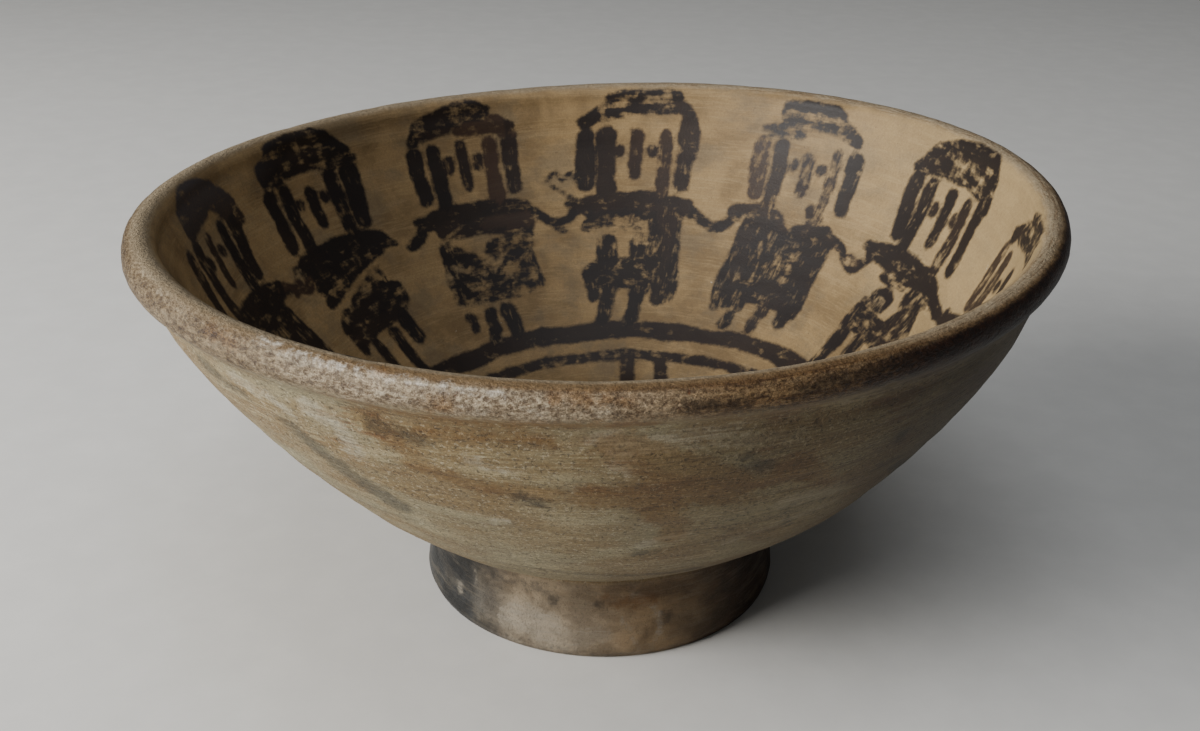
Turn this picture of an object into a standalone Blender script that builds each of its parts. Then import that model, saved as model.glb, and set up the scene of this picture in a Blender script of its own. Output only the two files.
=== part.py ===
"""Pedestal bowl: one piece of fired clay, a flaring bowl with a rolled lip on a hollow foot.

The piece stands on the plane z = 0 with +Z up, and -Y faces the viewer. Its origin is the
centre of the box around it, on the plane that it stands on. Lengths are in metres.

The section is drawn as points of radius and height, from the middle of the floor up the
inside, over the lip, down the outside, round the foot and back to the middle underneath. It
is turned about Z, and the turned form is then pulled a little out of true, as a hand-built
pot is: the rim is slightly oval, rises to one side and stands a little off the foot.
"""
import math

import bmesh
import bpy
from mathutils import Vector

MM = 0.001

# Rim and rolled lip
RIM_RADIUS = 90.0 * MM
RIM_HEIGHT = 86.1 * MM
LIP_HALF_THICKNESS = 3.2 * MM
LIP_UNDERCUT = math.radians(58.0)
LIP_INNER_TURN = math.radians(85.0)

# Neck, the narrow place under the lip where the wall ends
NECK_INSET = 3.8 * MM
NECK_DROP = 9.0 * MM
NECK_CURL = 1.5 * MM
NECK_THICKNESS = 4.6 * MM

# Wall of the bowl, a curve that leaves the foot and arrives at the neck at these slopes
WALL_FOOT_SLOPE = math.radians(14.8)
WALL_FOOT_PULL = 13.9 * MM
WALL_NECK_SLOPE = math.radians(74.2)
WALL_NECK_PULL = 19.6 * MM
WALL_FOOT_THICKNESS = 7.0 * MM

# Foot
FOOT_HEIGHT = 19.3 * MM
FOOT_RADIUS = 38.2 * MM
FOOT_TOP_RADIUS = 36.2 * MM
FOOT_WALL = 5.0 * MM
FOOT_EDGE_RADIUS = 1.2 * MM
FOOT_JOINT_RADIUS = 1.3 * MM
FOOT_HOLLOW_FILLET = 3.0 * MM
BASE_THICKNESS = 7.0 * MM

# Hand-made irregularity at the rim, fading to nothing at the standing plane
RIM_OVAL = 1.54 * MM
RIM_OVAL_ANGLE = math.radians(50.0)
RIM_LOBE = 0.25 * MM
RIM_LOBE_ANGLE = math.radians(77.0)
RIM_RISE = 2.36 * MM
RIM_WAVE = 0.91 * MM
RIM_WAVE_ANGLE = math.radians(19.3)
RIM_SHIFT = -1.0 * MM

# Facets
TURN_STEPS = 80
WALL_STEPS = 11
LIP_STEPS = 10
FLOOR_STEPS = 4

LIP_CENTRE = Vector((RIM_RADIUS - LIP_HALF_THICKNESS, RIM_HEIGHT - LIP_HALF_THICKNESS))
NECK = Vector((RIM_RADIUS - NECK_INSET, RIM_HEIGHT - NECK_DROP))
WALL_START = Vector((FOOT_TOP_RADIUS + FOOT_JOINT_RADIUS, FOOT_HEIGHT))


def heading(angle):
    """Unit vector of radius and height that points at an angle above the radius axis."""
    return Vector((math.cos(angle), math.sin(angle)))


def cubic(start, start_handle, end_handle, end, share):
    """Point of a cubic curve and the direction in which the curve runs there."""
    rest = 1.0 - share
    point = rest ** 3 * start + 3 * rest ** 2 * share * start_handle
    point += 3 * rest * share ** 2 * end_handle + share ** 3 * end
    course = rest ** 2 * (start_handle - start) + share ** 2 * (end - end_handle)
    course += 2 * rest * share * (end_handle - start_handle)
    return point, course.normalized()


def bend(start, leaving, end, arriving, pull, steps):
    """Points of a curve between two points, without the first one.

    The curve leaves the start and arrives at the end along the two given directions.
    """
    points = []
    for step in range(1, steps + 1):
        share = step / steps
        point, _ = cubic(start, start + pull * leaving, end - pull * arriving, end, share)
        points.append(point)
    return points


def arc(centre, radius, first, last, steps):
    """Points on a circle from one angle to another, both ends included."""
    angles = [first + (last - first) * step / steps for step in range(steps + 1)]
    return [centre + radius * heading(angle) for angle in angles]


def wall():
    """Outer and inner points of the bowl's wall, both from the foot up to the neck."""
    start_handle = WALL_START + WALL_FOOT_PULL * heading(WALL_FOOT_SLOPE)
    end_handle = NECK - WALL_NECK_PULL * heading(WALL_NECK_SLOPE)
    outer = []
    inner = []
    for step in range(WALL_STEPS + 1):
        share = step / WALL_STEPS
        point, course = cubic(WALL_START, start_handle, end_handle, NECK, share)
        inward = Vector((-course.y, course.x))
        thickness = WALL_FOOT_THICKNESS + share * (NECK_THICKNESS - WALL_FOOT_THICKNESS)
        outer.append(point)
        inner.append(point + thickness * inward)
    return outer, inner


def floor(edge):
    """Points of the shallow dished floor from the middle to where the inner wall starts."""
    steepness = math.tan(WALL_FOOT_SLOPE) / (2.0 * edge.x)
    middle_height = edge.y - steepness * edge.x ** 2
    radii = [edge.x * step / FLOOR_STEPS for step in range(FLOOR_STEPS)]
    return [Vector((radius, middle_height + steepness * radius ** 2)) for radius in radii]


def lip():
    """Points over the rolled lip, from its inner side to where it turns under outside."""
    first = math.pi / 2.0 + LIP_INNER_TURN
    return arc(LIP_CENTRE, LIP_HALF_THICKNESS, first, -LIP_UNDERCUT, LIP_STEPS)


def foot(ceiling):
    """Points of the foot, from under the joint with the wall to the middle of its hollow."""
    down = heading(-math.pi / 2.0)
    top = Vector((FOOT_TOP_RADIUS, FOOT_HEIGHT - FOOT_JOINT_RADIUS))
    outer_edge = Vector((FOOT_RADIUS - FOOT_EDGE_RADIUS, FOOT_EDGE_RADIUS))
    inner_edge = Vector((FOOT_RADIUS - FOOT_WALL + FOOT_EDGE_RADIUS, FOOT_EDGE_RADIUS))
    splay = heading(math.atan2(FOOT_EDGE_RADIUS - top.y, FOOT_RADIUS - FOOT_TOP_RADIUS))
    bottom = Vector((FOOT_RADIUS, FOOT_EDGE_RADIUS))
    pull = (bottom - top).length / 3.0

    points = bend(WALL_START, -heading(WALL_FOOT_SLOPE), top, down, 0.6 * FOOT_JOINT_RADIUS, 2)
    points += bend(top, down, bottom, splay, pull, 3)
    points += arc(outer_edge, FOOT_EDGE_RADIUS, 0.0, -math.pi / 2.0, 2)[1:]
    points += arc(inner_edge, FOOT_EDGE_RADIUS, -math.pi / 2.0, -math.pi, 2)

    hollow_radius = FOOT_TOP_RADIUS - FOOT_WALL
    corner = Vector((hollow_radius - FOOT_HOLLOW_FILLET, ceiling - FOOT_HOLLOW_FILLET))
    points += arc(corner, FOOT_HOLLOW_FILLET, 0.0, math.pi / 2.0, 3)
    points.append(Vector((corner.x / 2.0, ceiling)))
    points.append(Vector((0.0, ceiling)))
    return points


def section():
    """The whole section as points of radius and height, ending on the axis both times."""
    outer, inner = wall()
    roll = lip()
    dish = floor(inner[0])
    climb = heading(WALL_NECK_SLOPE)
    into_lip = heading(LIP_INNER_TURN)
    out_of_lip = heading(-math.pi / 2.0 - LIP_UNDERCUT)

    points = dish + inner
    points += bend(inner[-1], climb, roll[0], into_lip, NECK_CURL, 3)[:-1]
    points += roll
    points += bend(roll[-1], out_of_lip, NECK, -climb, NECK_CURL, 3)
    points += outer[-2::-1]
    points += foot(dish[0].y - BASE_THICKNESS)
    return points


def pull_out_of_true(point):
    """Where the potter's hand leaves a point of the turned form."""
    share = min(point.z / LIP_CENTRE.y, 1.2)
    radius = math.hypot(point.x, point.y)
    angle = math.atan2(point.y, point.x)
    swell = RIM_OVAL * math.cos(2.0 * (angle - RIM_OVAL_ANGLE))
    swell += RIM_LOBE * math.cos(3.0 * (angle - RIM_LOBE_ANGLE))
    rise = RIM_RISE * point.x + RIM_WAVE * radius * math.cos(2.0 * (angle - RIM_WAVE_ANGLE))
    stretch = 1.0 + share * swell / RIM_RADIUS
    x = point.x * stretch + share * RIM_SHIFT
    z = point.z + share * rise / RIM_RADIUS
    return Vector((x, point.y * stretch, z))


def centre_of_box(points):
    """Middle of the points' box in X and Y, on the standing plane."""
    xs = [point.x for point in points]
    ys = [point.y for point in points]
    return Vector(((min(xs) + max(xs)) / 2.0, (min(ys) + max(ys)) / 2.0, 0.0))


def make_bowl():
    """Turn the section about Z, pull the form out of true and centre it."""
    form = bmesh.new()
    corners = [form.verts.new((point.x, 0.0, point.y)) for point in section()]
    edges = [form.edges.new(pair) for pair in zip(corners, corners[1:])]
    bmesh.ops.spin(
        form,
        geom=corners + edges,
        cent=(0.0, 0.0, 0.0),
        axis=(0.0, 0.0, 1.0),
        angle=2.0 * math.pi,
        steps=TURN_STEPS,
    )
    bmesh.ops.remove_doubles(form, verts=form.verts, dist=0.000002)
    bmesh.ops.recalc_face_normals(form, faces=form.faces)
    for corner in form.verts:
        corner.co = pull_out_of_true(corner.co)
    middle = centre_of_box([corner.co for corner in form.verts])
    bmesh.ops.translate(form, verts=form.verts, vec=-middle)

    mesh = bpy.data.meshes.new("pedestal_bowl")
    form.to_mesh(mesh)
    form.free()
    mesh.shade_smooth()
    mesh.set_sharp_from_angle(angle=math.radians(40.0))
    mesh.materials.append(clay())
    bowl = bpy.data.objects.new("pedestal_bowl", mesh)
    bpy.context.scene.collection.objects.link(bowl)


def clay():
    """Smoke-stained buff clay with a dull burnish."""
    material = bpy.data.materials.new("fired_clay")
    material.use_nodes = True
    shader = material.node_tree.nodes["Principled BSDF"]
    shader.inputs["Base Color"].default_value = (0.27, 0.19, 0.12, 1.0)
    shader.inputs["Roughness"].default_value = 0.55
    shader.inputs["Metallic"].default_value = 0.0
    return material


for thing in list(bpy.data.objects):
    bpy.data.objects.remove(thing, do_unlink=True)
make_bowl()
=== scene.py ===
"""Looks of the pedestal bowl: a turned clay vessel with a painted row of figures inside.

The bowl is one closed surface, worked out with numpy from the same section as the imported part.
Its fine relief is in the mesh, and its painted lines are carried by attributes of the mesh.
Lengths inside the functions are in millimetres unless a name says otherwise.
"""
import math
from collections import namedtuple

import bpy
import numpy as np
from bpy.props import FloatProperty, FloatVectorProperty, PointerProperty
from bpy.types import Operator, Panel, PropertyGroup
from mathutils import Matrix, Vector


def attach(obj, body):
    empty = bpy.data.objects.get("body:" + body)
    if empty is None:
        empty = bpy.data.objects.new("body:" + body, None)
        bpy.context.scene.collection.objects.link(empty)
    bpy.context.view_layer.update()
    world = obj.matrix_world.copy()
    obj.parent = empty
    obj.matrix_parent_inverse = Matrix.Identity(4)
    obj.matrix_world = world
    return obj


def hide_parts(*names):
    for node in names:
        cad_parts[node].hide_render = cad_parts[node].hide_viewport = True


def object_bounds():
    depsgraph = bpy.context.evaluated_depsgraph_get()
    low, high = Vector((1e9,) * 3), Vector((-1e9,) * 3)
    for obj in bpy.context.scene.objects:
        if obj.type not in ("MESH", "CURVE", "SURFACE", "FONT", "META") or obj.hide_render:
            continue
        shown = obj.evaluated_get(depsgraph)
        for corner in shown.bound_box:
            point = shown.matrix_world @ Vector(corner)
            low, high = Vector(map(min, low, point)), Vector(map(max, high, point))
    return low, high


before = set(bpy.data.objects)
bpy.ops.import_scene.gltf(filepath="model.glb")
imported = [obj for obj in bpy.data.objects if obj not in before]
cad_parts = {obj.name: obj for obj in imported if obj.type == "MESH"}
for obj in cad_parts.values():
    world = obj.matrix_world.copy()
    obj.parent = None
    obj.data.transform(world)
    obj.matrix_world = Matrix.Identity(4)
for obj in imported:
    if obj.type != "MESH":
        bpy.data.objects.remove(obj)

bl_info = {
    "name": "Painted pedestal bowl",
    "version": (1, 0, 0),
    "blender": (4, 5, 0),
    "location": "3D View > Sidebar > Bowl",
    "description": "Makes a painted clay bowl on a ring foot, with its stage",
    "category": "Object",
}

CAD_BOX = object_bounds()
MM = 0.001
FULL_TURN = 2.0 * math.pi

# Sizes and angles of the bowl's section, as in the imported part. A pull or a curl is the length of
# a curve's handle.
LIP_UNDERCUT = math.radians(58.0)
LIP_INNER_TURN = math.radians(85.0)
NECK_INSET = 3.8
NECK_DROP = 9.0
NECK_CURL = 1.5
NECK_THICKNESS = 4.6
WALL_FOOT_SLOPE = math.radians(14.8)
WALL_FOOT_PULL = 13.9
WALL_NECK_SLOPE = math.radians(74.2)
WALL_NECK_PULL = 19.6
WALL_FOOT_THICKNESS = 7.0
FOOT_FLARE = 2.0
FOOT_WALL = 5.0
FOOT_EDGE_RADIUS = 1.2
FOOT_JOINT_RADIUS = 1.3
FOOT_HOLLOW_FILLET = 3.0
BASE_THICKNESS = 7.0

# How far the form is pulled out of true at the rim, the turn where each pull is greatest, and the
# most that all of it may grow to, as a share of that at the rim
RIM_OVAL = 1.54
RIM_OVAL_ANGLE = math.radians(50.0)
RIM_LOBE = 0.25
RIM_LOBE_ANGLE = math.radians(77.0)
RIM_WAVE = 0.91
RIM_WAVE_ANGLE = math.radians(19.3)
RIM_SHIFT = -1.0
MOST_PULL = 1.2

# Where the zones of the surface begin, as the run in millimetres inwards from the crest of the
# lip. The run is negative outside.
FLOOR_RUN = 78.0
LIP_INNER_RUN = 2.2
LIP_OUTER_RUN = -8.6
FOOT_RUN = -92.3
UNDERSIDE_RUN = -112.5

# Fineness of the surface, and how far apart its direction is read
FINE_COLUMNS = 630
COARSE_COLUMNS = FINE_COLUMNS // 2
SECTION_STEPS = 60
NEAR = 0.15

# How far apart the rings of the surface are in each zone
FLOOR_STEP, WALL_STEP, LIP_STEP = 1.45, 0.82, 0.75
OUTSIDE_STEP, FOOT_STEP, UNDERSIDE_STEP = 1.9, 1.5, 3.6

# Radius at which the place round the bowl is measured for patterns
AROUND_RADIUS = 84.0

# Larger forms in the relief: the turn where the belly is fullest, and heights in millimetres
BELLY_TURN = math.radians(-15.0)
BELLY_HEIGHT, BELLY_SWING = 0.20, 0.60
WAIST_DEPTH = 0.35
CREST_HEIGHT, CREST_SWING = 0.22, 0.50

# Noises of the relief: cells to a millimetre along the turn and along the run, and a shift that
# keeps them apart
RELIEF_NOISES = {
    "rings": (0.012, 0.42, 0.0), "fine_rings": (0.03, 1.1, 9.0), "lip_waves": (0.06, 0.24, 3.0),
    "lip_crumbs": (0.34, 0.5, 0.0), "nibbles": (0.22, 0.36, 14.0), "strokes": (0.16, 0.26, 21.0),
}

# Small breaks: turn in degrees, run, reach and depth
EDGE_BREAKS = (
    (181.0, -99.5, 2.6, 0.9),
    (176.5, -103.0, 1.8, 0.6),
    (47.6, 1.6, 2.4, 0.35),
    (300.0, -7.6, 1.8, 0.35),
    (243.0, -3.0, 1.6, 0.3),
)


# Noise

def noise_lattice(seed, size=32):
    """Random values between -1 and 1 on the corners of a cubic lattice."""
    return np.random.default_rng(seed).uniform(-1.0, 1.0, (size, size, size))


LATTICE = noise_lattice(7)


def soft_noise(place, lattice=LATTICE):
    """Smooth noise between -1 and 1 at each place, one lattice cell to a unit.

    The eight corners of the cell are blended with the weight 3 t^2 - 2 t^3 along each axis.
    """
    cell = np.floor(place).astype(int)
    share = place - cell
    share = share * share * (3.0 - 2.0 * share)
    total = np.zeros(place.shape[:-1])
    for corner in range(8):
        step = np.array([corner & 1, corner >> 1 & 1, corner >> 2])
        where = (cell + step) % len(lattice)
        weight = np.where(step, share, 1.0 - share).prod(axis=-1)
        total += weight * lattice[where[..., 0], where[..., 1], where[..., 2]]
    return total


def fade(value, low, high):
    """Share between 0 and 1 that rises smoothly from low to high."""
    share = np.clip((value - low) / (high - low), 0.0, 1.0)
    return share * share * (3.0 - 2.0 * share)


# Section and surface

def heading(angle):
    """Unit vector of radius and height at an angle above the radius axis."""
    return np.array([math.cos(angle), math.sin(angle)])


def turned(radius, turn, height):
    """Places at a radius and a height, turned about Z."""
    return np.stack([radius * np.cos(turn), radius * np.sin(turn), height], axis=-1)


def cubic(start, start_handle, end_handle, end, steps):
    """Points of a cubic curve through its two ends, and its directions there."""
    share = np.linspace(0.0, 1.0, steps + 1)[:, None]
    rest = 1.0 - share
    points = rest ** 3 * start + 3 * rest ** 2 * share * start_handle
    points += 3 * rest * share ** 2 * end_handle + share ** 3 * end
    course = rest ** 2 * (start_handle - start) + share ** 2 * (end - end_handle)
    course += 2 * rest * share * (end_handle - start_handle)
    return points, course / np.linalg.norm(course, axis=1)[:, None]


def bend(start, leaving, end, arriving, pull, steps=12):
    """Curve between two points along two given directions, without its first point."""
    return cubic(start, start + pull * leaving, end - pull * arriving, end, steps)[0][1:]


def arc(centre, radius, first, last, steps=12):
    """Points on a circle from one angle to another."""
    angles = np.linspace(first, last, steps + 1)
    return centre + radius * np.stack([np.cos(angles), np.sin(angles)], axis=-1)


def section(sizes):
    """Section of the bowl as points of radius and height, from floor to underside.

    The outer wall is one cubic curve from the foot to the neck. The inner wall lies inside it by
    a thickness that shrinks evenly. The floor is a parabola, the lip an arc, and short cubic
    curves join them. The foot flares down to two rounded edges, and a rounded hollow is under it.
    """
    lip_radius = sizes.lip_half_thickness / MM
    rim = np.array([sizes.rim_radius, sizes.rim_height]) / MM
    foot_radius = sizes.foot_radius / MM
    foot_top = foot_radius - FOOT_FLARE
    neck = rim - (NECK_INSET, NECK_DROP)
    start = np.array([foot_top + FOOT_JOINT_RADIUS, sizes.foot_height / MM])

    slope, climb = heading(WALL_FOOT_SLOPE), heading(WALL_NECK_SLOPE)
    handles = start + WALL_FOOT_PULL * slope, neck - WALL_NECK_PULL * climb
    outer, course = cubic(start, *handles, neck, 2 * SECTION_STEPS)
    thickness = np.linspace(WALL_FOOT_THICKNESS, NECK_THICKNESS, len(outer))[:, None]
    inner = outer + thickness * np.stack([-course[:, 1], course[:, 0]], axis=-1)

    steepness = math.tan(WALL_FOOT_SLOPE) / (2.0 * inner[0, 0])
    middle = inner[0, 1] - steepness * inner[0, 0] ** 2
    radii = np.linspace(0.0, inner[0, 0], SECTION_STEPS)[:-1]
    dish = np.stack([radii, middle + steepness * radii ** 2], axis=-1)

    roll_start = math.pi / 2 + LIP_INNER_TURN
    roll = arc(rim - lip_radius, lip_radius, roll_start, -LIP_UNDERCUT, SECTION_STEPS)
    into_lip = bend(inner[-1], climb, roll[0], heading(LIP_INNER_TURN), NECK_CURL)[:-1]
    out_of_lip = bend(roll[-1], heading(-math.pi / 2 - LIP_UNDERCUT), neck, -climb, NECK_CURL)

    down = heading(-math.pi / 2)
    top = np.array([foot_top, start[1] - FOOT_JOINT_RADIUS])
    bottom = np.array([foot_radius, FOOT_EDGE_RADIUS])
    side_length = np.linalg.norm(bottom - top)
    joint = bend(start, -slope, top, down, 0.6 * FOOT_JOINT_RADIUS)
    side = bend(top, down, bottom, (bottom - top) / side_length, side_length / 3.0)
    outer_edge = arc(bottom - (FOOT_EDGE_RADIUS, 0.0), FOOT_EDGE_RADIUS, 0.0, -math.pi / 2)[1:]
    inner_middle = bottom + (FOOT_EDGE_RADIUS - FOOT_WALL, 0.0)
    inner_edge = arc(inner_middle, FOOT_EDGE_RADIUS, -math.pi / 2, -math.pi)
    ceiling = middle - BASE_THICKNESS
    corner = np.array([foot_top - FOOT_WALL, ceiling]) - FOOT_HOLLOW_FILLET
    hollow = arc(corner, FOOT_HOLLOW_FILLET, 0.0, math.pi / 2)

    return np.vstack([
        dish, inner, into_lip, roll, out_of_lip, outer[-2::-1],
        joint, side, outer_edge, inner_edge, hollow, [[0.0, ceiling]],
    ])


def pull_out_of_true(points, sizes):
    """Turned points pulled to where the potter's hand left them.

    The pull grows with height. The radius swells with two and three waves to a turn, the height
    follows a slope along X and two waves, and all of it moves along X.
    """
    rim_radius = sizes.rim_radius / MM
    x, y, z = points[..., 0], points[..., 1], points[..., 2]
    share = np.minimum(z / ((sizes.rim_height - sizes.lip_half_thickness) / MM), MOST_PULL)
    angle = np.arctan2(y, x)
    swell = RIM_OVAL * np.cos(2.0 * (angle - RIM_OVAL_ANGLE))
    swell += RIM_LOBE * np.cos(3.0 * (angle - RIM_LOBE_ANGLE))
    rise = sizes.rim_rise / MM * x
    rise = rise + RIM_WAVE * np.hypot(x, y) * np.cos(2.0 * (angle - RIM_WAVE_ANGLE))
    stretch = 1.0 + share * swell / rim_radius
    return np.stack(
        [x * stretch + share * RIM_SHIFT, y * stretch, z + share * rise / rim_radius], axis=-1
    )


def relief(turn, run, radius, height, depth):
    """Height of the hand-made unevenness over the turned surface, along its normal.

    It is a sum of smooth noises in space: broad dents everywhere, rings left by turning on the
    wall, a worn and nibbled lip, and flat burnishing strokes on the foot. To them come larger
    forms: a belly fuller on the right, a waist drawn in just above the foot, and a crest of the
    lip fuller at the front left. Small breaks are cut from edges. All of it but the breaks fades
    out towards the ring that the bowl stands on.
    """
    place = turned(radius, turn, height)
    around = turned(AROUND_RADIUS, turn, run)
    lip = fade(run, LIP_OUTER_RUN - 1.0, LIP_OUTER_RUN + 1.0) * (1.0 - fade(run, 1.0, 4.0))
    outside = 1.0 - fade(run, LIP_OUTER_RUN - 2.0, LIP_OUTER_RUN)
    foot = 1.0 - fade(run, FOOT_RUN - 1.0, FOOT_RUN + 1.0)
    underside = 1.0 - fade(run, UNDERSIDE_RUN - 1.5, UNDERSIDE_RUN + 1.5)
    wall = outside * (1.0 - foot)

    noise = {
        name: soft_noise(around * (by_turn, by_turn, by_run) + shift)
        for name, (by_turn, by_run, shift) in RELIEF_NOISES.items()
    }
    dents = 0.24 * soft_noise(place / 24.0) + 0.10 * soft_noise(place / 9.0 + 4.0)
    rings = noise["rings"] + 0.6 * noise["fine_rings"]
    lip_wear = 0.10 * noise["lip_waves"] + 0.06 * noise["lip_crumbs"]
    nibbles = fade(noise["nibbles"], 0.35, 0.8)
    strokes = 0.14 * noise["strokes"]

    belly = BELLY_HEIGHT + BELLY_SWING * np.cos(turn - BELLY_TURN)
    belly = belly * (1.0 - fade(run, -26.0, -10.0)) * fade(run, -90.0, -58.0)
    waist = WAIST_DEPTH * fade(run, -90.0, -82.0) * (1.0 - fade(run, -76.0, -58.0))
    crest = fade(run, -3.5, -0.5) * (1.0 - fade(run, 2.0, 5.5)) * fade(-np.sin(turn), 0.1, 0.6)
    crest = crest * (CREST_HEIGHT - CREST_SWING * np.cos(turn))

    total = dents * (1.0 - 0.8 * underside) * (1.0 - 0.6 * lip) + (belly - waist) + crest
    total += 0.10 * rings * wall + 0.05 * rings * (1.0 - outside) * (1.0 - lip)
    total += lip * (lip_wear - 0.08 * nibbles - 0.12) + strokes * foot * (1.0 - underside)
    total *= fade(height, 0.2, 3.0)
    for at_turn, at_run, reach, cut in EDGE_BREAKS:
        off = (turn - math.radians(at_turn) + math.pi) % FULL_TURN - math.pi
        away = np.hypot(off * radius, run - at_run) + 0.5 * soft_noise(around * 0.8)
        total -= cut * (1.0 - fade(away, 0.3 * reach, reach))
    return depth * total


def runs_of(first, last, step):
    """Evenly spaced runs from first down to last, without the last."""
    return np.linspace(first, last, max(2, round(abs(last - first) / step)), endpoint=False)


def surface(sizes):
    """The bowl's surface as blocks of rings, each a grid of turn by run.

    A point is the section's point at its run, turned about Z, moved along the surface's normal
    by the relief and pulled out of true. The middle block, from the edge of the floor over the
    lip, has twice as many columns as the others.
    """
    profile = section(sizes)
    travel = np.concatenate([[0.0], np.cumsum(np.linalg.norm(np.diff(profile, axis=0), axis=1))])
    crest = travel[np.argmax(profile[:, 1])]
    outmost = crest - travel[-1]
    lip_end = LIP_OUTER_RUN - 1.0
    blocks = (
        (COARSE_COLUMNS, [runs_of(crest, FLOOR_RUN, FLOOR_STEP)]),
        (FINE_COLUMNS, [
            runs_of(FLOOR_RUN, LIP_INNER_RUN, WALL_STEP), runs_of(LIP_INNER_RUN, lip_end, LIP_STEP),
        ]),
        (COARSE_COLUMNS, [
            runs_of(lip_end, FOOT_RUN, OUTSIDE_STEP), runs_of(FOOT_RUN, UNDERSIDE_RUN, FOOT_STEP),
            runs_of(UNDERSIDE_RUN, outmost, UNDERSIDE_STEP), [outmost],
        ]),
    )
    made = []
    for columns, stretches in blocks:
        runs = np.concatenate(stretches)
        point, ahead, behind = (
            np.stack([np.interp(crest - runs + off, travel, part) for part in profile.T], axis=-1)
            for off in (0.0, NEAR, -NEAR)
        )
        course = ahead - behind
        course /= np.linalg.norm(course, axis=1)[:, None]
        turn = np.arange(columns) * FULL_TURN / columns
        run_grid, turn_grid = np.meshgrid(runs, turn, indexing="ij")
        radius, height = (np.repeat(part[:, None], columns, axis=1) for part in point.T)
        lift = relief(turn_grid, run_grid, radius, height, sizes.relief_depth)
        place = turned(radius - lift * course[:, 1:], turn_grid, height + lift * course[:, :1])
        place = pull_out_of_true(place, sizes)
        made.append({"place": place, "turn": turn_grid, "run": run_grid, "radius": radius})
    return made


def ring_quads(first, grid):
    """Corner numbers of the quads between neighbouring rings of one block."""
    rows, columns = grid.shape
    row, column = np.meshgrid(np.arange(rows - 1), np.arange(columns), indexing="ij")
    here = first + row * columns + column
    beside = first + row * columns + (column + 1) % columns
    return np.stack([here, beside, beside + columns, here + columns], axis=-1).reshape(-1, 4)


def stitch(coarse, fine):
    """Triangles between a coarse ring and a fine one, both given by their first corner."""
    column = np.arange(COARSE_COLUMNS)
    here, beside = coarse + column, coarse + (column + 1) % COARSE_COLUMNS
    even, odd = fine + 2 * column, fine + 2 * column + 1
    following = fine + (2 * column + 2) % FINE_COLUMNS
    corners = (here, odd, even), (here, beside, odd), (beside, following, odd)
    return np.concatenate([np.stack(three, axis=-1) for three in corners])


def weld(blocks):
    """Join the blocks into one closed mesh: corners, faces and the turn, run and radius there.

    The first ring of the first block and the last ring of the last are poles, each one corner.
    """
    floor, fine, outside = blocks
    parts = {}
    for key, width in (("place", 3), ("turn", 1), ("run", 1), ("radius", 1)):
        middle = floor[key][1:], fine[key], outside[key][:-1]
        rings = floor[key][:1, :1], *middle, outside[key][-1:, :1]
        parts[key] = np.concatenate([ring.reshape(-1, width) for ring in rings])
    floor, fine, outside = floor["run"][1:], fine["run"], outside["run"][:-1]
    first_floor = 1
    first_fine = first_floor + floor.size
    first_outside = first_fine + fine.size
    last = first_outside + outside.size

    column = np.arange(COARSE_COLUMNS)
    following = (column + 1) % COARSE_COLUMNS
    last_ring = last - COARSE_COLUMNS
    quads = np.concatenate([
        ring_quads(first_floor, floor), ring_quads(first_fine, fine), ring_quads(first_outside, outside),
    ])
    triangles = np.concatenate([
        np.stack([np.zeros_like(column), 1 + column, 1 + following], axis=-1),
        stitch(first_fine - COARSE_COLUMNS, first_fine)[:, ::-1],
        stitch(first_outside, first_outside - FINE_COLUMNS),
        np.stack([last_ring + following, last_ring + column, np.full_like(column, last)], axis=-1),
    ])
    return parts, quads[:, ::-1], triangles


# Painted decoration

# One brush stroke: the places it runs through, its half-width at both ends, how dry the brush
# was and how thin the paint. Places are millimetres to the right and down from the lip's crest.
Stroke = namedtuple("Stroke", "places start end dry thin")


def line(*numbers, wide=1.3, end=None, dry=0.3, thin=0.0):
    """A stroke through places given across and down in turn.

    Its half-width is given by wide, and goes from there to end where an end is given.
    """
    end = wide if end is None else end
    return Stroke(np.reshape(numbers, (-1, 2)).astype(float), wide, end, dry, thin)


def dot(x, down, wide=1.1, dry=0.35, thin=0.1, tall=0.1):
    """A touch of the brush, a little taller than wide."""
    return line(x, down - tall, x, down + tall, wide=wide, dry=dry, thin=thin)


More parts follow.
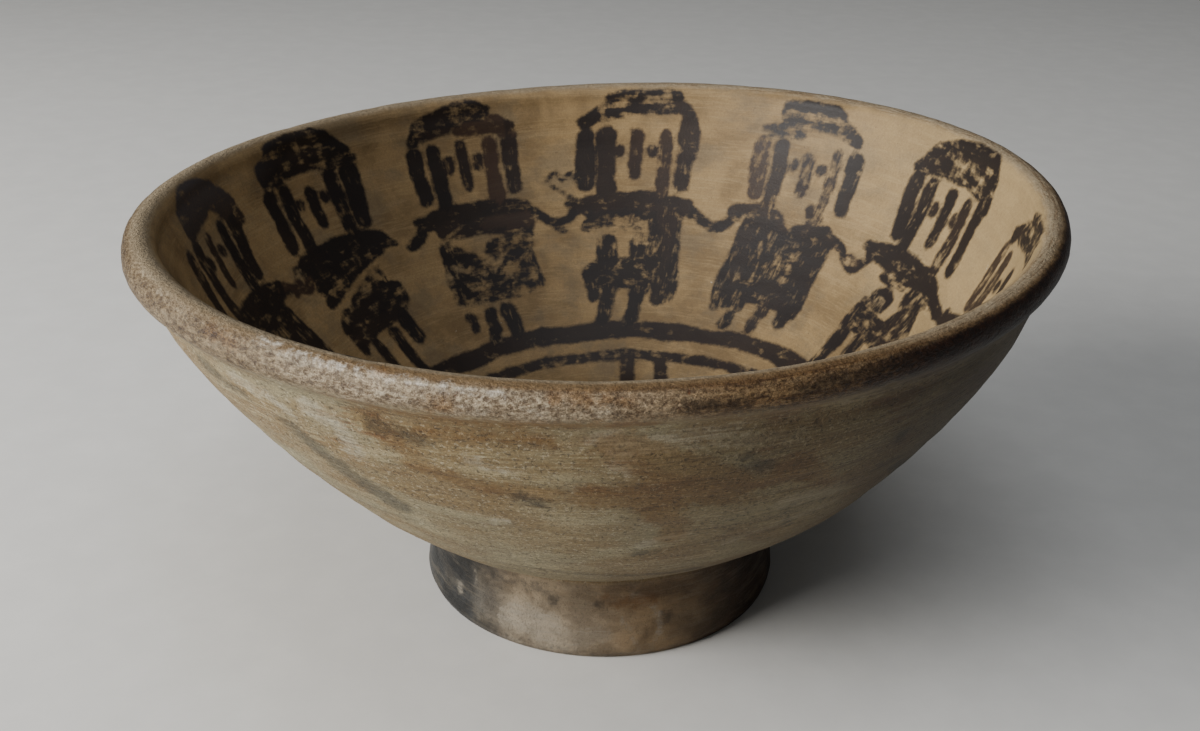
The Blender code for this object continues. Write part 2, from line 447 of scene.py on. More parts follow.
# Caps by name. Each has thin washes, the strokes laid over them, and gaps of bare clay.
CAPS = {
    "split": (
        (line(-9, 8.6, 0, 7, 9, 6.6, wide=2, dry=0.62), line(-4, 4.8, 9, 4.8, wide=1.6, dry=0.55)),
        (line(-7, 4.9, -2, 4.2, 4, 4, 10, 5.2, wide=1),
         line(-13.2, 11, -10, 8.9, -4, 8, 3, 7.4, wide=1.5, end=1.3, dry=0.25),
         line(3, 7.2, 9, 6.6, 13, 9, 14.2, 13, 13.8, 18, wide=1.1, end=1.7, thin=0.15)),
        (line(-1, 6.2, 6, 5.9, wide=0.25),),
    ),
    "dome": (
        (line(-9, 9, 0, 7.4, 10, 9, wide=3.6, dry=0.45), line(-4, 4.6, 6, 5, wide=1.8, dry=0.5)),
        (line(-8.5, 4.4, -3, 3.6, 4, 3.3, 9, 5, 13, 8.6, 15, 11.6, wide=0.9, end=1.7),
         line(-11.6, 8.9, -8, 8.4, -5, 8.6, wide=2.3, dry=0.15, thin=0.1),
         line(-4, 8.6, 3, 7.6, 8, 8.6, 12.5, 10.8, wide=1.5, end=1.7, dry=0.4, thin=0.1),
         line(-12.3, 10.6, -5, 10.6, 3, 10.2, 9.5, 10.6, wide=1.2)),
        (line(-8, 5.7, -3, 5.1, 1, 5, wide=0.35, end=0.2), line(1, 6.6, 7, 6.9, wide=0.22),
         line(-13, 12.7, 0, 12.9, 16, 13.2, wide=0.6)),
    ),
    "ragged": (
        (line(-10, 8.8, -2, 7.2, 6, 7.4, wide=2.6, dry=0.5),
         line(2, 9.8, 10, 9.6, 13, 12.5, wide=2, dry=0.25, thin=0.5)),
        (line(-11.5, 8, -7, 5.9, -1, 4.2, 4, 4.1, 8.2, 5.8, wide=1, end=0.8, dry=0.4),
         line(-12.6, 11, -9.6, 8.4, -4, 7.4, 3, 7.2, wide=1.5, end=1),
         line(-12, 10.4, -7, 9.9, -1, 9.6, wide=1.2, end=0.9, thin=0.15),
         line(0, 10, 6, 9.4, 11, 9.5, 13.6, 12.4, wide=1.5, thin=0.45)),
        (line(-6, 8.6, 0, 8.4, 4, 8.6, wide=0.22),),
    ),
    "flat": (
        (line(-9, 7.2, 3, 7, 9, 9.2, wide=1.8, dry=0.66), line(-12, 11, -4, 10.6, wide=1.2, dry=0.62)),
        (line(-9, 5.2, -3, 4.6, 3, 4.6, 5.6, 5.4, wide=1.4, end=1.1, dry=0.25),
         line(-5, 7.6, 0, 8.4, 6, 8.4, 11.4, 10.2, wide=1, end=1.4, dry=0.35),
         line(-14, 10.8, -9, 10.7, -4, 10.7, wide=0.6, dry=0.5, thin=0.2)),
        (line(-7, 6.6, -2, 6.4, wide=0.3),),
    ),
    "tall": (
        (line(-11, 8.6, 0, 6.4, 10, 8, wide=3.4, dry=0.5),
         line(-13, 10.6, 0, 9.8, 9, 10, wide=1.6, dry=0.5)),
        (line(-15.6, 11.2, -11, 7.4, -6, 5, -1, 3.5, 5, 3.3, 9.6, 4.4, 11.6, 8, 13.2, 13, wide=1.2, end=1.7),
         line(-10, 8.2, -4, 6.2, 4, 6, 9, 8, dry=0.38, thin=0.1),
         line(-15, 11.2, -8, 10.2, 0, 9.6, 6, 10, wide=1, dry=0.35)),
        (line(-5, 7.4, 1, 6.6, 7, 6.9, wide=0.2), line(-7, 8.9, 1, 8.4, wide=0.2)),
    ),
    "round": (
        (line(-3, 8, 4, 6.6, 10, 7.4, 14, 11, wide=3, dry=0.35, thin=0.3),),
        (line(-5, 11, -4.4, 7, 0, 4.6, 6, 4.1, 12, 6.5, 16, 11, 17, 15, wide=1.6, thin=0.3),
         line(-3, 9, 3, 6.8, 9, 7, 14, 11, wide=2.4, end=2.2, dry=0.2, thin=0.35),
         line(-4.5, 11.5, 0, 10.2, 6, 9.8, end=1, thin=0.3)),
        (),
    ),
}

# Tunics by name, made up as the caps are
TUNICS = {
    "barred": (
        (line(-8, 35.5, 0, 35, 8, 33.6, wide=3.6), line(-9, 40, -2, 38.6, 6, 36.6, wide=2.6, dry=0.48),
         line(-9, 49.5, -2, 48.4, 6, 46.6, wide=4.4, dry=0.42),
         line(-4, 44.4, 6, 41.4, wide=1.6, dry=0.68)),
        (line(-10, 33.6, -2, 32.6, 9, 33, wide=2.9, end=2.2),
         line(-11, 37.6, -5, 36.6, 1, 35.4, wide=2.2, end=1.6, dry=0.35),
         line(-12, 42, -6.4, 41.2, wide=1.2, end=0.8, dry=0.4),
         line(-10.8, 49.6, -3, 47.6, 5.4, 45.6, wide=2.6),
         line(-11, 52.2, -4, 51.2, 5.4, 49.8, wide=2, dry=0.35, thin=0.1),
         line(7, 42, 7.6, 50, wide=0.8, dry=0.65), line(-11, 52, -11.6, 55.8, wide=1.7, end=0.9),
         line(5.2, 51, 5.8, 58, wide=1.7)),
        (line(-12.6, 44.6, -4, 41.8, 2, 39.8, 11, 37.2, wide=0.95, end=1.2),
         line(-11, 47.4, -4, 44.8, 3, 42.4, 8, 40.8, wide=0.5, end=0.6),
         line(-8.5, 39.6, -3.5, 38.4, 4, 36.4, wide=0.6, end=0.4), line(-10, 36.2, -5, 35.4, wide=0.3)),
    ),
    "crossed": (
        (line(-8, 34, 2, 34, 11, 35, wide=3.6, dry=0.36, thin=0.15),
         line(-9.5, 40, -9.5, 52, wide=2.2, dry=0.5), line(-8, 47, 8, 49, wide=4, dry=0.7),
         line(2, 42.6, 11, 39.6, wide=2.4, dry=0.62), line(-7, 41, -2, 45, wide=2.2, dry=0.6),
         line(-8, 53.4, 8, 53, wide=1.8, dry=0.6), line(4, 33, 12, 34.6, wide=2.8, dry=0.2, thin=0.5)),
        (line(-10, 33.6, -3, 33.2, 2, 34.2, wide=2, end=2.4, thin=0.15),
         line(2, 34.4, 7, 34.8, 12, 35.2, wide=2.6, end=2.7, dry=0.2, thin=0.45),
         line(7, 37.6, 12, 37, thin=0.3, dry=0.4),
         line(-10.6, 40.6, -6, 43.2, -1, 47, 4, 50.8, end=1.7, dry=0.36),
         line(-10.4, 49.2, -4, 49, 2, 50, 9, 52, wide=1.8, end=1.4, dry=0.42),
         line(-10, 53.6, -4, 53.2, 3, 54, wide=1.2, end=0.9, dry=0.5), line(-9.8, 42, -10, 47, dry=0.4),
         line(2, 48, 6.4, 44, 11.4, 41.4, dry=0.4),
         line(10.6, 43, 11.4, 52, wide=1.2, end=0.9, dry=0.52), line(2, 41.6, 8, 39, wide=0.9, dry=0.55),
         line(-6, 45, -9, 47, dry=0.4)),
        (line(-11, 38, -6, 35.6, -2, 33.4, wide=0.8, end=0.4), line(-7.4, 38.4, -3, 41, 1.4, 44.4, end=1),
         line(-2, 39.6, 3, 38.8, wide=1.2, end=0.8),
         line(-9.8, 44.2, -5.4, 47.4, -2, 50.6, wide=1, end=0.5),
         line(2, 46.2, 6, 42.4, 10, 39.4, wide=0.7, end=0.5),
         line(4.4, 48.8, 8, 45.6, 10.6, 43.4, wide=0.8, end=0.5),
         line(-7, 51.6, 2, 52, wide=0.5, end=0.35), line(1, 51, 4.4, 49.2, wide=0.6)),
    ),
    "hollow": (
        (line(-9, 33.6, 0, 33.6, 10, 33.6, wide=2.8, dry=0.4), line(8.6, 36, 8.6, 54, wide=3.8, dry=0.4),
         line(-7, 51, 5, 50.4, wide=4, dry=0.42), line(-6, 43, -5.6, 48, wide=2.4, dry=0.5),
         line(2.6, 43, 3.4, 48, wide=2.4, dry=0.6), line(-4, 37, 1, 37.6, wide=2, dry=0.72),
         line(-11, 38, -8, 37, wide=1.4, dry=0.66)),
        (line(-11, 33.2, -3, 32.8, 5, 32.6, 13, 32.4, wide=1.8, end=2.2, thin=0.1),
         line(8.8, 34, 9.4, 42, 8.6, 50, 7.8, 56.6, wide=3.2, end=1.9, dry=0.22, thin=0.1),
         line(-0.5, 35.6, 0, 38.6, wide=1.6, end=0.8, thin=0.2, dry=0.4),
         line(-5.4, 42.2, -5.2, 48.6, wide=1.7, dry=0.34),
         line(-9, 51.8, -3, 50.8, 2, 48.6, 7, 47, wide=1.9, end=2.9),
         line(-8.6, 54, -7.8, 57.2, wide=1.8, end=1.1, dry=0.4), line(-6, 53, 5, 52, wide=1.8)),
        (line(5.6, 53.6, 5.4, 58, wide=0.6), line(-3.2, 49.6, -2.2, 47.4, wide=0.5),
         line(1.6, 41.4, 4.4, 42.6, wide=0.8)),
    ),
    "striped": (
        (line(-6.6, 36, -7, 52, wide=4.4, dry=0.36), line(1, 38, 1, 50, wide=3.4, dry=0.5),
         line(10, 36, 10, 51, wide=3.8, dry=0.38), line(-6, 51, 9, 50.4, wide=3.2, dry=0.4)),
        (line(-9, 33.4, -4, 33.6, 0, 35.6, wide=2.1, end=0.8),
         line(5, 35, 10, 34.2, 13.4, 35, wide=1.9, end=1.2),
         line(-8.4, 37.6, -8.2, 44, -7.4, 50, wide=2.8, thin=0.1),
         line(-1.6, 40.4, -1, 48, wide=2, dry=0.4),
         line(10.4, 38, 10.8, 44, 10.6, 50, wide=2.6, end=2.4, dry=0.25),
         line(3, 38.6, 8, 38, wide=0.6, dry=0.35), line(2.4, 41.8, 8, 41.2, wide=0.6, dry=0.35),
         line(2.6, 45, 8, 44.6, wide=0.6, dry=0.4), line(-6, 50.4, 2, 50, 9, 49.6, wide=2.2),
         line(-8.4, 50, -8.6, 55.8, wide=2.3, end=1.5), line(10.8, 48, 9.6, 56, wide=2.4, end=1.5)),
        (line(-4.4, 39, -3.4, 42.4, wide=0.9, end=0.5), line(1.6, 36.6, 8, 36.2, wide=0.35, dry=0.8),
         line(2.8, 40.2, 7.6, 39.6, wide=0.4, end=0.25), line(3, 43.4, 7.4, 43, wide=0.35),
         line(3.6, 46.6, 7.6, 46.2, wide=0.35)),
    ),
    "spotted": (
        (line(8.6, 37, 12.6, 42, wide=3.4, dry=0.56), line(-3, 46.4, 9, 46.6, wide=2.8, dry=0.5),
         line(-5.4, 46, -4.6, 52, wide=2, dry=0.58), line(2, 50, 2, 54, wide=2.2, dry=0.55),
         line(9, 48, 11, 52, wide=2.4, dry=0.6), line(-4, 35.4, 2, 35.2, wide=1.4, dry=0.6)),
        (line(-5.4, 36, -1, 35.2, 2, 35, wide=1, end=0.8, dry=0.4),
         line(-4.2, 40, -1.2, 38.6, 1.4, 39.6, 1, 41.6, -1.4, 41.8, -4.2, 40.6, wide=0.85, dry=0.35),
         line(7, 34.8, 13.6, 34.8, wide=1, dry=0.45),
         line(11, 36, 8.4, 40, 6.6, 44, wide=1.8, end=1.4, dry=0.42),
         line(12.6, 38, 14.6, 41, wide=1.2, dry=0.45), line(12, 43, 14.6, 44.6, wide=1, dry=0.4),
         line(-5.8, 44.6, -5.4, 53.4, wide=1.1, end=1.2, dry=0.5),
         line(-3.4, 45.6, 0, 47, wide=2, end=1.8, dry=0.35),
         line(3, 47.8, 6, 46, 10, 46, wide=2.1, end=1.8, dry=0.35),
         line(1.8, 49, 1.4, 54, wide=1.5, end=1.3, dry=0.4), line(9, 48, 12, 52, wide=1.5, dry=0.4),
         line(-6, 42.6, -4.6, 43.4, wide=0.7, dry=0.6)),
        (line(-2.4, 40.4, -0.6, 40.4, wide=0.45),),
    ),
    "gapped": (
        (line(-5, 35, 7, 35, wide=3, dry=0.4), line(-4, 40, -3, 50, wide=2.4, dry=0.5),
         line(3, 41, 4, 49, wide=3.4, dry=0.55), line(8.6, 38, 9.4, 50, wide=2.4, dry=0.42)),
        (line(-8, 33.4, 0, 33, 9, 33.4, wide=2.2), line(0, 37.4, 9, 37, dry=0.45),
         line(-5, 37, -3, 37.4, wide=1.5, dry=0.45), line(0.5, 41, 4, 41.2, wide=1.4, dry=0.45),
         line(7.2, 38, 10, 47, wide=1.8, dry=0.35), line(-5, 42, -3, 42.6, wide=1.7, dry=0.45),
         line(-2, 45.4, 5, 45, wide=1.4, dry=0.45), line(-6, 48.6, 2, 49.4, 8, 50, wide=2.1, dry=0.4),
         line(-6.6, 50, -7, 55, wide=1.6, end=1), line(7, 50, 7.4, 56, wide=1.8, end=1.2)),
        (),
    ),
}

# Legs by name
LEGS = {
    "pair": (
        line(-4, 54, -4.8, 60, -5.4, 66, wide=1.55, end=1.35),
        line(2.6, 54, 2, 60, 0.6, 66, wide=1.55, end=1.4),
    ),
    "left": (
        line(-6.4, 54, -6.2, 66, end=1.15), line(0.6, 54, 0.4, 65, wide=1.4, end=1.15),
    ),
    "stump": (
        line(-9.6, 57.6, -8.6, 58, -8.8, 60, wide=0.9, end=0.8, dry=0.45),
        line(-3.6, 57.6, -3.8, 61, wide=1.5, dry=0.4), line(-4.4, 63, -5.2, 66, end=1.1, dry=0.4),
        line(1.2, 57.6, 2, 62, 1.4, 65, wide=1.75, end=1.5, dry=0.2),
    ),
    "beads": (
        line(-2.6, 52, -2.8, 57, wide=1.25, end=1, dry=0.5),
        line(-4.2, 59, -4.6, 62, wide=1, end=1.4, dry=0.4), dot(3.6, 52, wide=1.4, tall=1),
        dot(3.6, 56, wide=1.4, tall=0.8), dot(2.8, 60, wide=1.3, tall=1),
    ),
}

# Arms by name, each reaching right to the next figure
ARMS = {
    "thin": (
        line(13.4, 31.6, 16.4, 34.2, 20, 36.6, 23.4, 35.6, 27, 32.6, wide=1, end=0.9),
    ),
    "wing": (
        line(12, 32.2, 17, 33.6, 21, 36.2, 24, 34.8, wide=1.1, end=0.9, dry=0.35, thin=0.5),
        line(20, 34.4, 17, 35.6, end=0.6, dry=0.4, thin=0.5), line(23.6, 32, 28, 30.8, wide=0.7, end=1.2),
    ),
    "hand": (
        line(12.6, 32.6, 15.8, 34.2, wide=1.2, end=0.4, dry=0.45),
        line(19.6, 37, 22, 36, 25.4, 32.8, wide=1.15, end=0.9),
    ),
    "loop": (
        line(12, 33.4, 17, 34.2, 19, 36.6, 22, 38, 24.6, 36.6, wide=0.9, end=0.8),
        line(20, 36.2, 23.6, 36.2, wide=1.1, dry=0.7, thin=0.2), line(24.6, 36, 27.6, 33.4, wide=0.8),
    ),
    "straight": (
        line(13.6, 32.2, 18, 33.2, 23, 33.4, 28, 32, wide=1.2, end=1),
    ),
}

# A figure: its parts above, the half-width, dryness and thinness of its locks, outer left, outer
# right, inner left and inner right, and how far it leans and stands to the right. Its nose is
# given as a lock is, with the place where it begins. Then come half the height of an eye and the
# thinness of the shoulders' band. The last three say whether a lock joins the cap, whether the
# neck is open, and which traces of paint are beside it.
Look = namedtuple(
    "Look",
    "cap tunic legs arm hair slant shift nose nose_top eye band joined open trace",
    defaults=(0.0, 0.0, (1.25, 0.25, 0.1), 14.4, 0.1, 0.0, False, False, ()),
)
FIGURES = (
    Look("round", "gapped", "pair", "wing",
         ((1.7, 0.35, 0.15), (2, 0.25, 0.05), (1.6, 0.3, 0.1), (1.6, 0.2, 0)),
         slant=1.6, shift=4.5, nose=(1.3, 0.4, 0.3)),
    Look("dome", "barred", "left", "hand", ((2, 0.2, 0), (2.5, 0.15, 0), (1.8, 0.25, 0), (1.8, 0.3, 0)),
         slant=0.5, nose=(1.5, 0.2, 0), nose_top=16.8),
    Look("ragged", "crossed", "stump", "thin",
         ((1.95, 0.15, 0), (1.85, 0.25, 0.15), (1.75, 0.2, 0), (1.8, 0.15, 0.6)),
         nose=(1.35, 0.2, 0.1), eye=0.9, band=0.1, joined=True),
    Look("split", "hollow", "pair", "thin",
         ((2.2, 0.15, 0), (1.9, 0.25, 0.15), (2.3, 0.15, 0.05), (1.6, 0.4, 0.3)),
         nose=(1.45, 0.35, 0.2), eye=0.3, band=0.1, joined=True,
         trace=(line(-22, 25.6, -20, 23.6, -18, 25.2, -16, 23.8, -14, 25.4, wide=0.3, dry=0.55),
                line(-20.6, 27.4, -18, 28.6, wide=0.25, dry=0.6),
                line(-16.6, 30, -14.6, 31.4, wide=0.35, dry=0.6),
                line(-19, 38.4, -16.4, 39.4, wide=0.25, dry=0.6))),
    Look("flat", "striped", "beads", "loop",
         ((2, 0.35, 0.35), (1.95, 0.25, 0), (1.7, 0.3, 0.1), (1.3, 0.66, 0.15)),
         slant=-0.5, nose=(1.5, 0.5, 0.1), nose_top=16.8, band=0.1, open=True),
    Look("tall", "spotted", "pair", "straight",
         ((2.1, 0.2, 0), (1.8, 0.25, 0), (1.75, 0.25, 0), (1.7, 0.42, 0.05)),
         slant=-1.2, nose=(1.6, 0.3, 0), eye=0.3, joined=True),
    Look("split", "crossed", "pair", "thin",
         ((1.7, 0.35, 0.3), (1.6, 0.35, 0.4), (1.5, 0.35, 0.3), (1.4, 0.5, 0.4)),
         slant=-1.2),
    Look("dome", "striped", "left", "hand",
         ((1.8, 0.3, 0.1), (1.9, 0.3, 0.1), (1.45, 0.3, 0.1), (1.45, 0.35, 0.3))),
    Look("ragged", "hollow", "stump", "thin",
         ((1.9, 0.25, 0), (1.7, 0.35, 0.4), (1.45, 0.3, 0.1), (1.45, 0.45, 0.5)), slant=0.5),
    Look("tall", "barred", "pair", "loop",
         ((1.8, 0.25, 0.1), (1.8, 0.3, 0.1), (1.5, 0.3, 0.1), (1.45, 0.3, 0)), eye=0.4),
    Look("flat", "spotted", "beads", "thin",
         ((1.7, 0.3, 0.4), (1.8, 0.25, 0.1), (1.45, 0.3, 0.2), (1.45, 0.35, 0.2)), slant=0.8),
)

# Turn of the first figure's middle, and how far to each side a figure's paint may reach. Then the
# runs where that paint ends, where a figure's shift has worn off, where its legs begin to stretch
# down to the rings, and where paint begins below the crest of the lip.
FIRST_FIGURE_TURN = math.radians(182.5)
FIGURE_REACH = math.radians(30.0)
FIGURE_END_RUN = 72.0
SHIFT_END_RUN = 60.0
LEG_RUN = 50.0
PAINT_START_RUN = 0.5

# The wobble of the brush: its reach in millimetres, how much finer its second noise is, how far
# each noise moves the paint, and how far apart the noises of two figures are
WOBBLE_REACH, WOBBLE_FINENESS = 5.0, 2.7
WOBBLE_BROAD, WOBBLE_FINE = 0.45, 0.2
WOBBLE_PER_FIGURE = 3.7

# Depth of a point that has no paint near it, and the most that a wash reaches
BARE = -3.0
WASH_DEPTH = 0.8

# The rings that the figures stand on: how far inwards, half-width and dryness of each
RING_RUN = 66.0
RING_OFFSET = 3.4
RING_OFFSET_TURN = math.radians(-5.0)
RINGS = ((0.0, 2.0, 0.2), (7.0, 1.1, 0.4))
RING_THIN = 0.12

# The bars on the floor: their places along X, and how far inside the rings' run they begin
BARS = (5.8, 14.0)
BAR_HALF_WIDTH, BAR_DRY, BAR_THIN = 1.4, 0.35, 0.15
BAR_START = 6.7


def hair(look):
    """Locks that hang beside the face, outer and inner, on both sides."""
    made = []
    for side, (width, dry, thin) in zip((-1, 1), look.hair[:2]):
        top = 10.8 if side > 0 and look.joined else 14.8
        made.append(line(
            side * 12.9 + look.slant, top, side * 12.7, 20, side * 12.2 - 1.6 * look.slant, 26.4,
            wide=width, end=0.85 * width, dry=dry, thin=thin,
        ))
    for side, (width, dry, thin) in zip((-1, 1), look.hair[2:]):
        made.append(line(
            side * 7.6 + look.slant, 14.6, side * 7.4, 21, side * 7.2 - look.slant, 30,
            wide=width, dry=dry, thin=thin,
        ))
    return made


def face(look):
    """A plain sign for a face: a bar for the nose and a dot for each eye."""
    width, dry, thin = look.nose
    lean = 0.8 * look.slant
    places = (0.2 + lean, look.nose_top, 0.2, 19, 0.1 - lean, 24.4)
    nose = line(*places, wide=width, end=0.9 * width, dry=dry, thin=thin)
    return [nose] + [dot(side * 4.0, 18.5, tall=look.eye) for side in (-1, 1)]


def shoulders(look):
    """The band that carries the locks, open at the neck on one figure."""
    thin = look.band
    if look.open:
        return [
            line(-15, 32, -9, 30.4, -4, 31, 0, 34.6, wide=1.3, end=0.9, thin=thin),
            line(-7, 29, -5, 32, wide=1.8, thin=thin),
            line(4.4, 28.2, 5.6, 30.4, 7, 33, 13, 33.6, 17, 34.6, wide=0.9, thin=thin),
            line(4, 34, 11, 33, wide=1.7),
        ]
    return [
        line(-13.4, 32.4, -8, 31, 0, 30.6, 8, 30.8, 13.6, 32.2, wide=1.7, end=1.5, dry=0.2, thin=thin),
        line(-9.5, 32, 9.5, 32, wide=2.2, dry=0.25, thin=thin),
        line(-16.6, 31.4, -12, 31.8, wide=0.6, end=1, dry=0.5),
        line(12, 33.4, 16, 34.4, wide=1.1, end=0.5, dry=0.5),
    ]


def swept(given, steps=10):
    """Points along a smooth curve through the places, in equal shares between each two.

    Between two places the curve is the cubic that passes through both and runs, at each, parallel
    to the line between its neighbours.
    """
    if len(given) == 2:
        return np.linspace(given[0], given[1], 3 * steps)
    padded = np.vstack([2 * given[0] - given[1], given, 2 * given[-1] - given[-2]])
    share = np.linspace(0.0, 1.0, steps, endpoint=False)[:, None, None]
    before, here, after, beyond = padded[:-3], padded[1:-2], padded[2:-1], padded[3:]
    curve = 0.5 * (
        2 * here
        + (after - before) * share
        + (2 * before - 5 * here + 4 * after - beyond) * share ** 2
        + (3 * here - before - 3 * after + beyond) * share ** 3
    )
    return np.vstack([curve.transpose(1, 0, 2).reshape(-1, 2), given[-1:]])


class Coat:
    """Paint on some points of the wall, each given by its place across and down.

    Among its values, `ink` is how far a point lies inside the nearest stroke's edge, negative
    outside. `dry`, `thin` and `upright` are that stroke's own.
    """

    def __init__(self, across, down):
        self.across, self.down = across, down
        start = {"ink": BARE, "dry": 0.3, "thin": 0.0, "upright": 0.0}
        self.values = {name: np.full(len(across), value) for name, value in start.items()}

    def inside(self, stroke):
        """Points near a stroke, how far inside its edge each of them lies, and its path."""
        path = swept(stroke.places)
        width = np.linspace(stroke.start, stroke.end, len(path))
        reach = width.max() - BARE
        low, high = path.min(axis=0) - reach, path.max(axis=0) + reach
        near = np.nonzero(
            (self.across > low[0]) & (self.across < high[0])
            & (self.down > low[1]) & (self.down < high[1])
        )[0]
        away = np.hypot(self.across[near, None] - path[:, 0], self.down[near, None] - path[:, 1])
        return near, (width - away).max(axis=1) if len(near) else np.zeros(0), path

    def put(self, where, **values):
        """Take new values at the points where their ink lies deeper than what is there."""
        new = values["ink"] > self.values["ink"][where]
        for name, value in values.items():
            self.values[name][where[new]] = np.broadcast_to(value, new.shape)[new]

    def lay(self, strokes, most=math.inf):
        """Add strokes, none deeper than the most."""
        for stroke in strokes:
            near, depth, path = self.inside(stroke)
            across, down = np.abs(path[-1] - path[0])
            ink = np.minimum(depth, most)
            self.put(near, ink=ink, dry=stroke.dry, thin=stroke.thin, upright=down > across)

    def lift(self, strokes):
        """Take the paint away along strokes."""
        ink = self.values["ink"]
        for stroke in strokes:
            near, depth, _ = self.inside(stroke)
            ink[near] = np.minimum(ink[near], -depth)


def paint_figure(turn, run, radius, number):
    """The points near one figure, and the values of its coat there.

    A point's place across is its distance along the ring from the figure's middle, and both
    places are shaken by smooth noise, so no edge is ruled.
    """
    look = FIGURES[number]
    at_turn = FIRST_FIGURE_TURN - number * (FULL_TURN / len(FIGURES))
    away = (turn - at_turn + math.pi) % FULL_TURN - math.pi
    where = np.nonzero((np.abs(away) < FIGURE_REACH) & (run > 0.0) & (run < FIGURE_END_RUN))[0]
    across, down = -away[where] * radius[where], run[where]
    apart = np.full(len(where), WOBBLE_PER_FIGURE * number)
    place = np.stack([across / WOBBLE_REACH, down / WOBBLE_REACH, apart], axis=-1)
    across, down = (
        value + WOBBLE_BROAD * soft_noise(place + broad_shift)
        + WOBBLE_FINE * soft_noise(WOBBLE_FINENESS * place + fine_shift)
        for value, broad_shift, fine_shift in ((across, 0.0, 5.0), (down, 11.3, 19.0))
    )

    coat = Coat(across - look.shift * (1.0 - down / SHIFT_END_RUN), down)
    for washes, laid, gaps in (TUNICS[look.tunic], CAPS[look.cap]):
        coat.lay(washes, WASH_DEPTH)
        coat.lay(laid)
        coat.lift(gaps)
    coat.lay(hair(look) + face(look) + shoulders(look))
    coat.lay(ARMS[look.arm] + look.trace)
    ring_rise = RING_OFFSET * math.cos(at_turn - RING_OFFSET_TURN)
    coat.down = down + ring_rise * np.clip((down - LEG_RUN) / (RING_RUN - LEG_RUN), 0.0, 1.0)
    coat.lay(LEGS[look.legs])
    return where, coat.values


def paint(turn, run, radius):
    """The whole decoration: the row of figures, the rings they stand on and the floor's bars.

    A ring's edge is its half-width less the distance from its run, which swings once round the
    bowl, because the rings were painted a little off the middle. No paint goes past the lip.
    """
    total = Coat(turn, run)
    for number in range(len(FIGURES)):
        where, values = paint_figure(turn, run, radius, number)
        total.put(where, **values)

    around = turned(AROUND_RADIUS, turn, run)
    shake = 0.5 * soft_noise(around / 14.0) + 0.25 * soft_noise(around / 5.0 + 7.0)
    ring_run = RING_RUN - RING_OFFSET * np.cos(turn - RING_OFFSET_TURN)
    everywhere = np.arange(len(turn))
    for inwards, half_width, dry in RINGS:
        width = half_width * (1.0 + 0.22 * soft_noise(around / 9.0 + 3.0 * inwards))
        edge = width - np.abs(run - ring_run - inwards - shake)
        total.put(everywhere, ink=edge, dry=dry, thin=RING_THIN, upright=0.0)
    x = radius * np.cos(turn)
    for at_x in BARS:
        width = BAR_HALF_WIDTH * (1.0 + 0.2 * soft_noise(around / 7.0 + at_x))
        edge = np.minimum(width - np.abs(x - at_x + 0.4 * shake), run - ring_run - BAR_START)
        total.put(everywhere, ink=np.maximum(edge, BARE), dry=BAR_DRY, thin=BAR_THIN, upright=0.0)
    total.values["ink"][run < PAINT_START_RUN] = BARE
    return total.values


